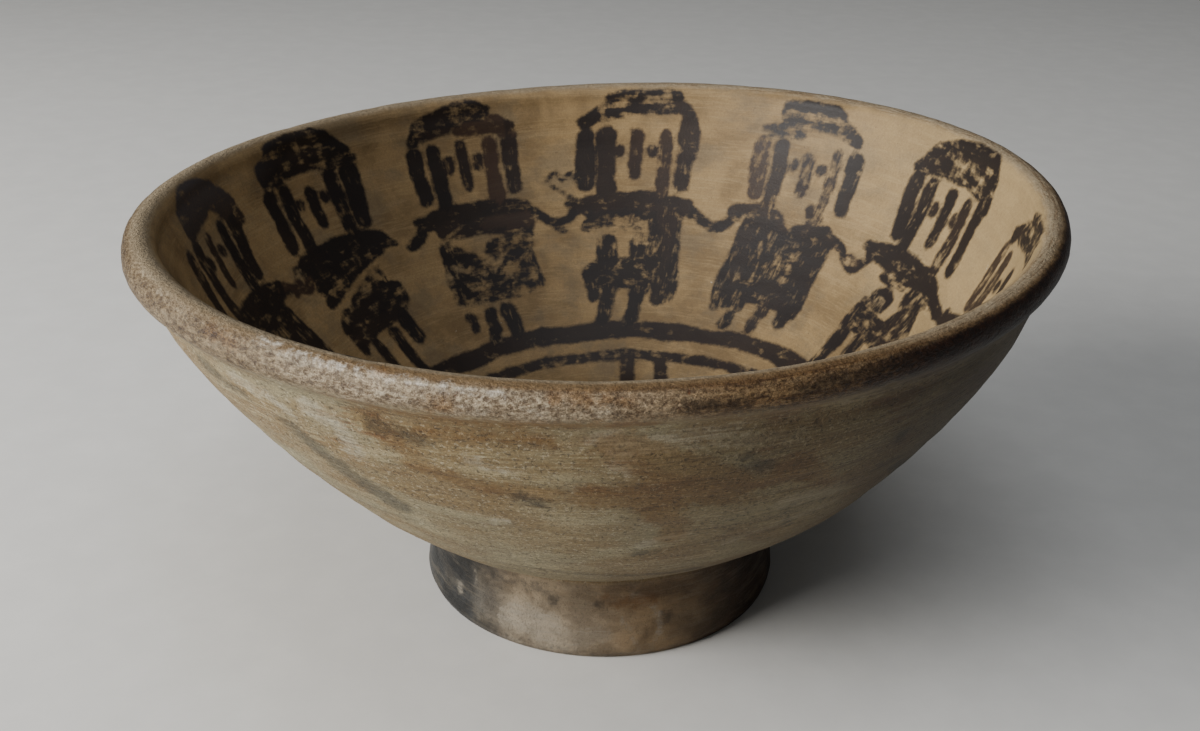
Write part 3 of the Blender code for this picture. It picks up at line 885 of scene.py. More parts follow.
# Marks on the outside: clay rubbed pale, soot and brown stains, with two pale strokes that are painted
# highlights and one dark band that is partly painted shade. Their places are millimetres round the
# bowl from its front, at the radius given here, and down from the lip's crest. They begin at a seam
# on the left, whose turn from the front is in radians.
MARK_RADIUS = 70.0
MARK_SEAM = 1.3
MARKS = {
    "rubbed": (
        line(-37, 14, -33, 17, -33, 24, wide=2, end=1.3),
        line(-50, 14, -44, 15, -40, 18, wide=1.4, end=0.7), line(0, 13, 8, 12.4, 18, 11.2, end=0.7),
        line(2, 12, 3, 16, 4, 22, wide=1.9, end=0.5), line(3, 13.5, 12, 14, 26, 16, wide=2.2, end=1.2),
        line(-15, 19, -9, 22, end=0.5), line(33, 28, 36, 31, 39, 36, wide=1.5, end=0.8),
        line(30, 36, 38, 37, 44, 40, wide=2.6, end=1.2), line(8, 47, 11, 44, 15, 43, wide=1.5, end=0.8),
        line(42, 44, 32, 46, 24, 50, wide=1.2, end=1.6),
        # The first stroke here, along the neck on the right, is a painted highlight under the lip.
        line(30, 10.2, 56, 10.8, 80, 13.4, wide=1.2, end=1), line(-18, 41, -14, 38, wide=0.6, end=1),
        # The first stroke here, along the lip's crest on the left, is a painted highlight.
        line(-42, 0.9, -33, 1.3, -22, 1.9, -10, 2.5, wide=0.4, end=0.3), line(-62, 102, -60, 103),
        line(-53, 97, -52, 98.4, wide=0.9), line(-37, 104, -29, 102.5, -17, 104, wide=2.4, end=3.8),
        line(-12, 106, 4, 104, wide=2.6, end=1.4),
        line(13, 95, 20, 98, 24, 103, 18, 110, wide=0.9, end=0.6),
        line(10, 101, 14, 106, 16, 111, wide=0.7, end=0.5),
    ),
    "soot": (
        line(-43, 21, -39, 29, -33, 40, wide=1.6, end=3.2), line(-27, 14, -21, 16, wide=1.7, end=1.2),
        line(-58, 15, -50, 18, wide=1.6, end=1), line(19.5, 19.5, 22, 22, end=1.7),
        line(-10, 28, -7, 31), line(45, 23, 46, 25, wide=1.4), line(46, 33, 52, 35, wide=1.1, end=0.7),
        line(54, 38, 64, 46, 74, 56, wide=1.6, end=1), line(31, 39, 32, 42, 33.5, 45, wide=0.7, end=0.4),
        line(8, 51, 10, 50.5, wide=1.4, end=0.9), line(34, 47, 36, 49, wide=0.7, end=0.5),
        line(21.6, 44, 22.4, 45, wide=0.6), line(-16, 64, 6, 67, 24, 70, wide=0.6, end=2),
        # This soot band along the right of the lip's outer face is partly painted shade.
        line(24, 3.9, 42, 3.8, 62, 4.2, 90, 5, wide=0.9, end=2.6),
        line(11, 4.4, 17, 4.6, wide=0.8, end=0.5), line(-84, 99, -72, 100, -62, 99, wide=3, end=2),
        line(-60, 94.6, -40, 94.8, -20, 95, wide=1.6, end=0.8), line(-18, 96.6, -16, 97, wide=1.2),
        line(-50, 107.6, -20, 108.2, 10, 108.6, wide=0.3), line(26, 101, 28, 101.5, wide=0.9),
        line(0, 97, 2, 97.4, wide=0.9),
    ),
    "brown": (
        line(27, 24, 32, 28, 36, 33, wide=3.2, end=1.4), line(-28, 8.4, -14, 9, 6, 8, wide=1, end=1.4),
        line(-28, 13, -24, 18, wide=2.6, end=1.8), line(-21, 13.6, -10, 13, 0, 14.6, wide=1, end=0.7),
        line(3, 14, 10, 20, 17, 27, wide=3, end=5.5), line(0, 27, 14, 28.5, 28, 26, wide=3.4, end=1.8),
        line(8, 32, 12, 38, 12, 44, wide=2.6, end=2.4), line(-24, 22, -16, 26, -6, 27, wide=1.6, end=2.4),
        line(28, 12.9, 40, 13.3, 50, 13.6, wide=0.9, end=0.6), line(-17.4, 4.8, -16.4, 5, wide=0.9),
        line(-24.4, 0.6, -23.8, 0.8, wide=0.7), line(-50, 2.4, -45, 3, wide=1, end=0.6),
        line(-4, 2.4, 4, 2.8, wide=0.9, end=0.6), line(2, 96, 12, 97, 22, 96.4, wide=0.9, end=1.3),
    ),
}

# Count and largest half-width of the marks on the unseen back, and the first of their seeds.
# Their starts and reaches have a range across and a range down, and their widths a range of
# shares of the largest.
SCATTER = {"rubbed": (26, 4.0), "soot": (30, 1.7), "brown": (22, 4.4)}
SCATTER_SEED = 40
SCATTER_STARTS = ((95.0, 320.0), (13.0, 108.0))
SCATTER_REACHES = ((2.0, 16.0), (-7.0, 10.0))
SCATTER_WIDTHS = (0.3, 1.0)


def scattered(seed, count, width):
    """Strokes at random places round the unseen back of the outside, mostly along the turn."""
    rng = np.random.default_rng(seed)
    start, reach = (
        np.stack([rng.uniform(*span, count) for span in spans], axis=-1)
        for spans in (SCATTER_STARTS, SCATTER_REACHES)
    )
    half_width = rng.uniform(*SCATTER_WIDTHS, (count, 2)) * width
    return [
        line(*at, *(at + 0.5 * by + (0.0, 1.0)), *(at + by), wide=first, end=last)
        for at, by, (first, last) in zip(start, reach, half_width)
    ]


def stains(turn, run):
    """How far inside the nearest mark of each kind a point lies."""
    across = MARK_RADIUS * ((turn - 1.5 * math.pi + MARK_SEAM) % FULL_TURN - MARK_SEAM)
    found = {}
    for number, (kind, strokes) in enumerate(MARKS.items()):
        coat = Coat(across, -run)
        coat.lay(strokes)
        coat.lay(scattered(SCATTER_SEED + number, *SCATTER[kind]))
        found[kind] = coat.values["ink"]
    return found


# Materials

# Shades of the clay and the paint that aren't among the settings
SHADES = {
    # The shade after the smoke is painted light: the inside paler and warmer towards the right, where the
    # light falls.
    "inside_smoke": (0.155, 0.12, 0.075), "inside_warm": (0.42, 0.305, 0.155),
    "inside_scuff": (0.62, 0.55, 0.44), "inside_crumb": (0.10, 0.06, 0.035),
    "outside_dark": (0.105, 0.07, 0.04), "chalk": (0.47, 0.42, 0.30), "pit": (0.06, 0.042, 0.026),
    # The first shade here is painted shade: the foot's right end nearly black in the bowl's shadow.
    "foot_right": (0.030, 0.012, 0.003), "foot_line": (0.20, 0.165, 0.115),
    "underside": (0.15, 0.12, 0.082), "lip_red": (0.22, 0.07, 0.028),
    "lip_pock": (0.07, 0.042, 0.024), "lip_crack": (0.035, 0.02, 0.012),
    # Of the rubbed shades, the wall's also colours a painted highlight under the lip, and the lip's a
    # painted highlight along its crest. The paint's sheen is painted sheen on the paint.
    "rubbed_wall": (0.38, 0.345, 0.26), "rubbed_foot": (0.24, 0.21, 0.165),
    "rubbed_lip": (0.68, 0.63, 0.54), "paint_sheen": (0.060, 0.054, 0.058),
}

# Shades that multiply what is under them
STAINS = {
    # The first shade here is painted shade: the wall darker low down, towards the foot.
    "low_wall": (0.78, 0.73, 0.67), "foot_shadow": (0.62, 0.60, 0.58),
    # The last shade here is painted shade: the foot's top darker under the overhanging wall.
    "foot_light_patch": (1.08, 1.08, 1.08), "foot_top": (0.68, 0.62, 0.54),
    "foot_left": (0.66, 0.68, 0.70), "lip_blotch": (0.42, 0.34, 0.25),
    # The last shade here and the first below are painted shade on the right of the lip.
    "lip_ridge": (0.58, 0.47, 0.34), "lip_right": (0.64, 0.51, 0.35),
    "lip_far_right": (0.17, 0.085, 0.04), "lip_line": (0.45, 0.33, 0.22),
    "lip_left": (0.57, 0.52, 0.43), "lip_far_left": (0.68, 0.64, 0.58),
    # The shades for the wall and the neck on the right are painted shade, over clay somewhat darker there
    # too.
    "wall_right": (0.52, 0.48, 0.40), "wall_far_right": (0.36, 0.33, 0.27),
    "neck_right": (0.42, 0.32, 0.24), "brown": (0.74, 0.56, 0.37), "soot": (0.42, 0.43, 0.46),
}

# Numbers of a Mix node's sockets for colours: its share, its two colours and its result
MIX_SHARE, MIX_LOW, MIX_HIGH, MIX_RESULT = 0, 6, 7, 2

NUMBER, COLOUR, VECTOR = "NodeSocketFloat", "NodeSocketColor", "NodeSocketVector"


class Field:
    """An output of a node, which can be added, subtracted and multiplied as a number can."""

    def __init__(self, wiring, socket):
        self.wiring, self.socket = wiring, socket

    def __add__(self, other):
        return self.wiring.maths("ADD", self, other)

    def __sub__(self, other):
        return self.wiring.maths("SUBTRACT", self, other)

    def __rsub__(self, other):
        return self.wiring.maths("SUBTRACT", other, self)

    def __mul__(self, other):
        return self.wiring.maths("MULTIPLY", self, other)


class Wiring:
    """Short words for adding nodes to a material or a node group."""

    def __init__(self, tree):
        self.tree = tree

    def fill(self, socket, value):
        """Link a socket to a field, or give it a value."""
        if isinstance(value, Field):
            self.tree.links.new(value.socket, socket)
        else:
            socket.default_value = value

    def add(self, kind, output, sockets=None, **settings):
        """An output of a new node, whose settings and inputs are given by name or number."""
        node = self.tree.nodes.new("ShaderNode" + kind)
        for name, value in settings.items():
            setattr(node, name, value)
        for name, value in (sockets or {}).items():
            self.fill(node.inputs[name], value)
        return Field(self, node.outputs[output])

    def maths(self, operation, *values, clamp=False):
        """Result of a Math node."""
        return self.add("Math", 0, dict(enumerate(values)), operation=operation, use_clamp=clamp)

    def stretched(self, place, factors):
        """A place multiplied axis by axis."""
        return self.add("VectorMath", 0, {0: place, 1: factors}, operation="MULTIPLY")

    def noise(self, place, size, detail=2.0, roughness=0.5, distortion=0.0):
        """Noise between 0 and 1 whose features are about as large as the size."""
        scale = self.maths("DIVIDE", 1.0, size) if isinstance(size, Field) else 1.0 / size
        sockets = {"Vector": place, "Scale": scale, "Detail": detail, "Roughness": roughness}
        return self.add("TexNoise", "Fac", {**sockets, "Distortion": distortion})

    def fade(self, value, low, high):
        """Share between 0 and 1 that rises smoothly while the value goes from low to high."""
        sockets = {"Value": value, "From Min": low, "From Max": high}
        return self.add("MapRange", "Result", sockets, interpolation_type="SMOOTHSTEP")

    def mix(self, share, low, high, blend="MIX"):
        """Colour between two others."""
        sockets = {MIX_SHARE: share, MIX_LOW: low, MIX_HIGH: high}
        return self.add("Mix", MIX_RESULT, sockets, data_type="RGBA", blend_type=blend)

    def group(self, tree, output, **sockets):
        """Output of a node group, its inputs filled by name."""
        return self.add("Group", output, sockets, node_tree=tree)

    def attribute(self, name, output="Fac"):
        """An attribute of the mesh."""
        return self.add("Attribute", output, attribute_name=name)


def new_group(name, output, kind, **inputs):
    """Empty node group with one output: its wiring, that output and its inputs as fields."""
    tree = bpy.data.node_groups.new(name, "ShaderNodeTree")
    for socket, socket_kind in inputs.items():
        tree.interface.new_socket(socket, in_out="INPUT", socket_type=socket_kind)
    tree.interface.new_socket(output, in_out="OUTPUT", socket_type=kind)
    wiring = Wiring(tree)
    given = tree.nodes.new("NodeGroupInput").outputs
    leave = tree.nodes.new("NodeGroupOutput").inputs[output]
    return wiring, leave, *(Field(wiring, given[socket]) for socket in inputs)


def mottle_group():
    """Two colours in soft patches, with finer patches inside them."""
    wiring, leave, place, size, low, high = new_group(
        "mottle", "Colour", COLOUR, Place=VECTOR, Size=NUMBER, Low=COLOUR, High=COLOUR
    )
    share = wiring.fade(wiring.noise(place, size, 3.0, 0.6, 0.4), 0.36, 0.64)
    wiring.fill(leave, wiring.mix(share, low, high))
    return wiring.tree


def streak_group():
    """Fine lines left by turning and wiping, between 0 and 1, along the turn."""
    wiring, leave, around, height = new_group("streaks", "Value", NUMBER, Around=VECTOR, Height=NUMBER)
    fine = wiring.noise(wiring.stretched(around, (0.07, 0.07, 1.0)), height, 2.0, 0.6)
    coarse = wiring.noise(wiring.stretched(around, (0.012, 0.012, 0.22)), height, 2.0, 0.55)
    wiring.fill(leave, fine * 0.55 + coarse * 0.45)
    return wiring.tree


def speck_group():
    """Scattered specks with ragged edges: the peaks of a fine noise that pass a level."""
    wiring, leave, place, size, level = new_group(
        "specks", "Mask", NUMBER, Place=VECTOR, Size=NUMBER, Level=NUMBER
    )
    wiring.fill(leave, wiring.fade(wiring.noise(place, size, 3.0, 0.78), level, level + 0.07))
    return wiring.tree


def brushed_paint_group():
    """Where paint covers the clay: a soft ragged edge, and bare places where the brush was dry.

    The bare places are streaks along the stroke mixed with blotches. A dryness of 0 keeps nearly
    all of the stroke, and a dryness of 1 about a fifth.
    """
    wiring, leave, ink, dry, upright, around, place = new_group(
        "brushed_paint", "Cover", NUMBER,
        Ink=NUMBER, Dry=NUMBER, Upright=NUMBER, Around=VECTOR, Place=VECTOR,
    )
    crumb, lump = wiring.noise(place, 1.0, 2.0, 0.6), wiring.noise(place, 3.0, 3.0, 0.6)
    cover = wiring.fade(ink + (crumb * 0.8 + lump - 0.60), -0.62, 0.46)
    lying, standing = (
        wiring.noise(wiring.stretched(around, factors), 1.4, 2.0, 0.55)
        for factors in ((0.28, 0.28, 1.0), (1.0, 1.0, 0.28))
    )
    streak = lying + upright * (standing - lying)
    low = dry * 0.30 + 0.22
    wiring.fill(leave, cover * wiring.fade(streak * 0.42 + lump * 0.58, low - 0.06, low + 0.17))
    return wiring.tree


def rgb(colour):
    """A colour as the four numbers that a socket takes."""
    return (*colour, 1.0)


def new_material(name):
    """Empty material and its shader."""
    material = bpy.data.materials.new(name)
    material.use_nodes = True
    return material, material.node_tree.nodes["Principled BSDF"]


class ClayWiring(Wiring):
    """Nodes of the bowl's clay: the fields that its zones share, and a method for each zone.

    Places are in millimetres. `ragged` is a wobble that tears the borders between zones, `zone` is
    the run torn by it, and `lines` are those left by turning.
    """

    def __init__(self, tree, colours):
        super().__init__(tree)
        own = {name: getattr(colours, name) for name in BowlColours.__annotations__}
        self.shades = {name: rgb(shade) for name, shade in {**own, **SHADES, **STAINS}.items()}
        self.mottle_tree, self.speck_tree = mottle_group(), speck_group()
        self.place = self.stretched(self.add("TexCoord", "Object"), (1.0 / MM,) * 3)
        self.x, self.y = (self.add("SeparateXYZ", axis, {0: self.place}) for axis in "XY")
        self.around, self.run = self.attribute("around", "Vector"), self.attribute("run")
        self.ragged = (self.noise(self.place, 7.0, 3.0, 0.6) - 0.5) * 3.0
        self.zone = self.run + self.ragged
        self.grain = self.noise(self.place, 0.6, 3.0, 0.75)
        self.cloudy = self.noise(self.place, 16.0, 4.0, 0.62)
        self.lines = self.group(streak_group(), "Value", Around=self.around, Height=0.42)
        self.lip_grain = self.noise(self.along_turn(0.6), 0.55, 3.0, 0.7)
        self.pits = self.specks(self.along_turn(0.7), 0.6, 0.57)
        # The front half, torn by the wobble: the painted shade of the lip and below it is laid only here.
        self.front = self.fade(self.y + self.ragged * 12.0, 42.0, -22.0)
        lip_outer = self.fade(self.run + self.ragged * 0.7, LIP_OUTER_RUN + 0.4, LIP_OUTER_RUN + 3.2)
        lip_inner = self.fade(self.run + self.ragged * 0.6, LIP_INNER_RUN + 0.9, LIP_INNER_RUN - 1.3)
        self.on_lip = lip_outer * lip_inner
        self.on_foot = self.along(FOOT_RUN + 0.5, FOOT_RUN - 1.0)

    def across(self, low, high):
        """Share that rises along X."""
        return self.fade(self.x, low, high)

    def along(self, low, high):
        """Share that rises along the run."""
        return self.fade(self.run, low, high)

    def along_turn(self, turn, run=1.0):
        """Place round the bowl, shrunk along the turn and the run so that patterns grow there."""
        return self.stretched(self.around, (turn, turn, run))

    def upwards(self, height):
        """Place in space with its height stretched."""
        return self.stretched(self.place, (1.0, 1.0, height))

    def specks(self, place, size, level):
        """Mask of scattered specks."""
        return self.group(self.speck_tree, "Mask", Place=place, Size=size, Level=level)

    def mottle(self, place, size, low, high):
        """Two shades in soft patches."""
        low, high = self.shades[low], self.shades[high]
        return self.group(self.mottle_tree, "Colour", Place=place, Size=size, Low=low, High=high)

    def layered(self, base, **shares):
        """A colour with shades laid over it in turn, each as far as its share says."""
        for shade, share in shares.items():
            base = self.mix(share, base, self.shades[shade], "MULTIPLY" if shade in STAINS else "MIX")
        return base

    def inside(self):
        """Buff clay with rubbed rings, smoke, scuffs and dark crumbs, and painted light that makes it paler
        and warmer towards the right.
        """
        smoke = self.noise(self.along_turn(0.6), 9.0, 4.0, 0.65)
        return self.layered(
            self.mottle(self.place, 13.0, "inside_dark", "inside_light"),
            inside_pale=self.fade(self.lines, 0.46, 0.64) * 0.30,
            inside_smoke=self.fade(smoke, 0.46, 0.66) * 0.5,
            # Painted light: paler and warmer towards the right.
            inside_warm=self.across(46.0, 84.0) * 0.6,
            inside_scuff=self.specks(self.along_turn(0.4), 3.4, 0.71) * 0.55,
            inside_crumb=self.specks(self.place, 1.3, 0.66) * 0.5,
        )

    def outside(self):
        """Grey and brown clay with wiped lines, rust under the lip, chalk and pits, and painted shade low on
        the wall towards the foot.
        """
        patch = self.noise(self.upwards(1.7), 12.0, 4.0, 0.65)
        rust_line = self.noise(self.along_turn(0.10, 0.6), 1.5, 4.0, 0.7)
        rust_zone = self.fade(self.zone, -34.0, -12.0) * self.fade(self.cloudy, 0.42, 0.60)
        return self.layered(
            self.mottle(self.upwards(1.8), 22.0, "outside_grey", "outside_brown"),
            outside_pale=self.fade(self.lines, 0.49, 0.57) * self.fade(patch, 0.38, 0.62) * 0.5,
            outside_dark=self.fade(self.lines, 0.48, 0.41) * self.fade(patch, 0.62, 0.36) * 0.5,
            rust=rust_zone * self.fade(rust_line, 0.46, 0.62) * 0.75,
            # Painted shade towards the foot.
            low_wall=self.fade(self.zone, -54.0, -76.0),
            chalk=self.specks(self.place, 0.75, 0.56) * 0.44,
            pit=self.pits * 0.7,
        )

    def foot(self):
        """Burnished clay, blackened by smoke on the left and brown on the right, with wiped lines, and
        painted shade on its top and at its right end.
        """
        smoked_and_shaded = self.layered(
            self.shades["foot_dark"],
            foot_light=self.fade(self.x + self.ragged * 3.0, -27.0, -14.0),
            foot_brown=self.fade(self.x + self.ragged * 4.0, -12.0, 14.0),
            # Painted shade at the right end.
            foot_right=self.across(13.0, 33.0),
        )
        patches = self.mottle(self.upwards(1.3), 7.0, "foot_shadow", "foot_light_patch")
        lines = self.noise(self.along_turn(0.05, 0.8), 1.0, 3.0, 0.65)
        return self.layered(
            self.mix(1.0, smoked_and_shaded, patches, "MULTIPLY"),
            # Painted shade on the top, under the overhanging wall.
            foot_top=self.fade(self.zone, -103.0, -95.0),
            foot_left=self.across(-15.0, -30.0),
            foot_line=self.fade(lines, 0.48, 0.66) * 0.22,
        )

    def lip(self):
        """Worn and pocked clay with a smoother crest, and painted shade on the right of the front, where it
        turns from the light.
        """
        patch = self.noise(self.along_turn(0.16, 0.45), 0.8, 4.0, 0.75)
        crack = self.noise(self.along_turn(0.16), 0.6, 3.0, 0.7)
        blotch = self.noise(self.along_turn(0.4, 0.8), 1.5, 3.0, 0.7)
        ridge = self.along(-2.1, -1.3) * self.along(0.9, -0.5)
        return self.layered(
            self.shades["lip_dark"],
            lip_light=self.fade(self.lip_grain, 0.32, 0.66),
            lip_pale=self.fade(patch, 0.50, 0.66) * 0.33,
            lip_red=self.specks(self.place, 1.3, 0.655) * 0.6,
            lip_pock=self.specks(self.along_turn(0.8), 1.15, 0.54) * 0.58,
            lip_crack=self.fade(crack, 0.46, 0.38) * 0.2,
            lip_blotch=self.fade(blotch, 0.48, 0.60) * self.along(-0.4, -2.0) * 0.45,
            lip_top=self.along(-2.2, -0.4) * 0.7,
            lip_ridge=ridge * self.across(-86.0, -30.0) * self.across(64.0, 36.0) * self.front,
            # Painted shade on the right, darkest on the far right.
            lip_right=self.across(-10.0, 24.0) * self.along(-0.2, -1.8) * self.front,
            lip_far_right=self.across(24.0, 52.0) * self.along(-1.3, -2.6) * self.front,
            lip_line=self.fade(self.lines, 0.50, 0.42) * self.across(0.0, 30.0) * 0.6,
            lip_left=self.across(-30.0, -58.0) * self.along(-0.6, -2.4),
            lip_far_left=self.across(-73.0, -85.0) * self.along(-0.2, -2.0),
        )

    def joined(self):
        """The clay of all zones, each in its place."""
        under = self.mottle(self.place, 12.0, "outside_grey", "underside")
        clay = self.mix(self.fade(self.zone, UNDERSIDE_RUN - 3.0, UNDERSIDE_RUN), under, self.foot())
        clay = self.mix(self.along(FOOT_RUN - 0.8, FOOT_RUN + 0.8), clay, self.outside())
        clay = self.mix(self.along(-3.0, 0.5), clay, self.inside())
        return self.mix(self.on_lip, clay, self.lip())

    def marked(self, clay):
        """Clay with its rubbed, brown and sooty marks, tattered at their edges by a noise; two pale marks
        are painted highlights and one dark band is partly painted shade.
        """
        tatter = self.noise(self.place, 1.8, 4.0, 0.7) * 5.6 + -2.8
        # Rubbed marks, among them two painted highlights: along the lip's crest and under the lip on the
        # right.
        rub_and_highlight = self.fade(self.attribute("rubbed") + tatter, -0.8, 0.9)
        pale = self.layered(
            self.shades["rubbed_wall"], rubbed_foot=self.on_foot, rubbed_lip=self.on_lip
        )
        clay = self.mix(rub_and_highlight * (self.fade(self.lines, 0.44, 0.60) * 0.45 + 0.25), clay, pale)
        return self.layered(
            clay,
            brown=self.fade(self.attribute("brown") + tatter, -1.2, 1.0) * 0.8,
            soot=self.fade(self.attribute("soot") + tatter, -1.2, 1.0) * 0.85,
        )

    def shaded(self, clay):
        """Painted shade below the lip on the right of the front, laid over clay that is somewhat darker
        there too.
        """
        below_lip = self.along(LIP_OUTER_RUN + 4.0, LIP_OUTER_RUN + 1.5)
        below_lip = below_lip * (1.0 - self.on_foot) * self.front
        return self.layered(
            clay,
            wall_right=self.across(-10.0, 32.0) * below_lip,
            wall_far_right=self.across(28.0, 60.0) * below_lip,
            neck_right=self.across(26.0, 66.0) * self.along(-11.5, -9.5) * below_lip,
        )

    def grainy(self, clay):
        """Clay lightened and darkened by its grain, most outside and least on the foot."""
        rough = self.grain * 0.62 + self.noise(self.place, 0.22, 1.0, 0.5) * 0.38 - 0.5
        contrast = self.along(2.0, -3.0) * 1.1 + 1.0 - self.on_foot * 1.3
        tint = self.add("CombineColor", 0, dict.fromkeys(range(3), rough * contrast + 1.0))
        return self.mix(1.0, clay, tint, "MULTIPLY")

    def painted(self, clay):
        """Clay under its paint, and how far the paint covers it."""
        cover = self.group(
            brushed_paint_group(), "Cover", Ink=self.attribute("ink"), Dry=self.attribute("dry"),
            Upright=self.attribute("upright"), Around=self.around, Place=self.place,
        )
        uneven = (self.cloudy - 0.5) * 0.5
        thin = self.maths("ADD", self.attribute("thin"), uneven, clamp=True)
        # Painted sheen: the paint greyer on the cap of the figure farthest left.
        sheen = self.across(-72.0, -80.0) * self.along(17.0, 6.0) * 0.7
        ink = self.layered(self.shades["paint_black"], paint_brown=thin, paint_sheen=sheen)
        cover = cover * (0.97 - thin * 0.12)
        return self.mix(cover, clay, ink), cover

    def roughness(self, cover):
        """Matt clay, a little glossier on the foot, the lip and the paint."""
        gloss = self.on_foot * 0.16 + self.on_lip * 0.12
        return self.grain * 0.16 + 0.52 - gloss - cover * 0.09

    def normal(self):
        """Fine relief in millimetres: grain, turned lines and pits outside, and a crumbly lip."""
        outer = self.along(LIP_OUTER_RUN, LIP_OUTER_RUN - 2.0)
        height = self.grain * 0.07 + self.lines * outer * 0.22
        height = height + self.lip_grain * self.on_lip * 0.5 - self.pits * outer * 0.10
        return self.add("Bump", "Normal", {"Height": height, "Strength": 0.8, "Distance": MM})


def clay_material(colours):
    """Smoke-stained buff clay with a painted inside, a worn lip and a burnished dark foot."""
    material, shader = new_material("fired_clay_painted")
    wiring = ClayWiring(material.node_tree, colours)
    clay = wiring.grainy(wiring.shaded(wiring.marked(wiring.joined())))
    surface_colour, cover = wiring.painted(clay)
    wiring.fill(shader.inputs["Base Color"], surface_colour)
    wiring.fill(shader.inputs["Roughness"], wiring.roughness(cover))
    wiring.fill(shader.inputs["Normal"], wiring.normal())
    shader.inputs["Metallic"].default_value = 0.0
    shader.inputs["Specular IOR Level"].default_value = 0.28
    return material


def floor_material(colour):
    """Plain matt floor with the faintest grain."""
    material, shader = new_material("pale_floor")
    wiring = Wiring(material.node_tree)
    soft = wiring.fade(wiring.noise(wiring.add("TexCoord", "Object"), 0.012, 4.0, 0.6), 0.3, 0.8)
    darker = rgb([0.94 * part for part in colour])
    wiring.fill(shader.inputs["Base Color"], wiring.mix(soft, darker, rgb(colour)))
    shader.inputs["Roughness"].default_value = 0.9
    return material


# Settings

def length(name, description, default):
    """A length property in metres."""
    return FloatProperty(
        name=name, description=description, default=default, unit="LENGTH", subtype="DISTANCE"
    )


def colour(name, description, default):
    """A colour property."""
    return FloatVectorProperty(
        name=name, description=description, default=default, size=3, min=0.0, max=1.0, subtype="COLOR"
    )


def number(name, description, default):
    """A plain number property."""
    return FloatProperty(name=name, description=description, default=default, min=0.0)


class BowlSizes(PropertyGroup):
    """Sizes of the bowl."""

    rim_radius: length("Rim radius", "Outer radius of the rolled lip", 90.0 * MM)
    rim_height: length("Rim height", "Height of the lip's crest over the floor, before its rise", 86.1 * MM)
    lip_half_thickness: length("Lip half thickness", "Radius of the rolled lip", 3.2 * MM)
    rim_rise: length("Rim rise", "How much higher the rim stands on its right side", 2.36 * MM)
    foot_height: length("Foot height", "Height at which the wall leaves the foot", 19.3 * MM)
    foot_radius: length("Foot radius", "Outer radius of the foot's lower edge", 38.2 * MM)
    relief_depth: number("Relief", "How strong the hand-made unevenness is", 1.0)


class BowlColours(PropertyGroup):
    """Colours of the clay and the paint."""

    inside_light: colour("Inside", "Buff clay inside", (0.295, 0.198, 0.092))
    inside_dark: colour("Inside, darker", "Darker patches inside", (0.195, 0.128, 0.059))
    inside_pale: colour("Inside, pale", "Rubbed rings inside", (0.4, 0.29, 0.15))
    outside_grey: colour("Outside, grey", "Grey-buff patches outside", (0.235, 0.2, 0.117))
    outside_brown: colour("Outside, brown", "Brown-buff patches outside", (0.195, 0.134, 0.06))
    outside_pale: colour("Outside, pale", "Pale rubbed lines outside", (0.39, 0.335, 0.2))
    rust: colour("Rust", "Rusty streaks under the lip", (0.15, 0.07, 0.024))
    lip_light: colour("Lip", "Worn clay of the lip", (0.385, 0.31, 0.21))
    lip_top: colour("Lip, crest", "Smooth crest of the lip", (0.27, 0.212, 0.135))
    lip_dark: colour("Lip, dark", "Dark stains of the lip", (0.125, 0.084, 0.048))
    lip_pale: colour("Lip, pale", "Pale worn places of the lip", (0.53, 0.48, 0.385))
    foot_dark: colour("Foot, dark", "Smoked clay of the foot", (0.036, 0.036, 0.035))
    foot_brown: colour("Foot, brown", "Brown side of the foot", (0.215, 0.146, 0.078))
    foot_light: colour("Foot, light", "Lighter patches of the foot", (0.27, 0.225, 0.165))
    paint_black: colour("Paint", "Thick black-brown paint", (0.0105, 0.008, 0.0092))
    paint_brown: colour("Thin paint", "Thin, rubbed paint", (0.042, 0.019, 0.014))


class StageLook(PropertyGroup):
    """Floor, lights and camera."""

    floor_radius: length("Floor radius", "Radius of the round floor", 4.0)
    floor_colour: colour("Floor", "Colour of the floor", (0.74, 0.73, 0.70))
    key_power: number("Key light", "Power of the window-like light on the left, in watts", 15.0)
    fill_power: number("Fill light", "Power of the broad light over the camera, in watts", 5.2)
    surroundings: number("Surroundings", "Strength of the light from all round", 0.08)


# Makers of the bowl and its stage

class BOWL_OT_make_bowl(Operator):
    """Make the painted bowl in the place of its plain model"""

    bl_idname = "bowl.make_bowl"
    bl_label = "Make bowl"

    def execute(self, context):
        sizes, colours = context.scene.bowl_sizes, context.scene.bowl_colours
        parts, quads, triangles = weld(surface(sizes))
        turn, run, radius = (parts[key].ravel() for key in ("turn", "run", "radius"))
        low, high = (np.array(corner) / MM for corner in CAD_BOX)
        place = parts["place"]
        middle = (place.min(axis=0) + place.max(axis=0))[:2] / 2.0 - (low + high)[:2] / 2.0
        place = np.clip(place - np.append(middle, 0.0), low, high)

        mesh = bpy.data.meshes.new("painted_bowl")
        mesh.from_pydata((place * MM).tolist(), [], quads.tolist() + triangles.tolist())
        mesh.shade_smooth()
        values = {**paint(turn, run, radius), **stains(turn, run), "run": run}
        for name, numbers in values.items():
            attribute = mesh.attributes.new(name, "FLOAT", "POINT")
            attribute.data.foreach_set("value", numbers.astype(np.float32))
        around = turned(AROUND_RADIUS, turn, run).astype(np.float32).ravel()
        mesh.attributes.new("around", "FLOAT_VECTOR", "POINT").data.foreach_set("vector", around)
        mesh.materials.append(clay_material(colours))

        bowl = bpy.data.objects.new("painted_bowl", mesh)
        context.scene.collection.objects.link(bowl)
        if mesh.validate():
            raise RuntimeError("the bowl's surface has faulty faces")
        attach(bowl, "root")
        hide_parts("pedestal_bowl")
        return {"FINISHED"}


FLOOR_CORNERS = 64

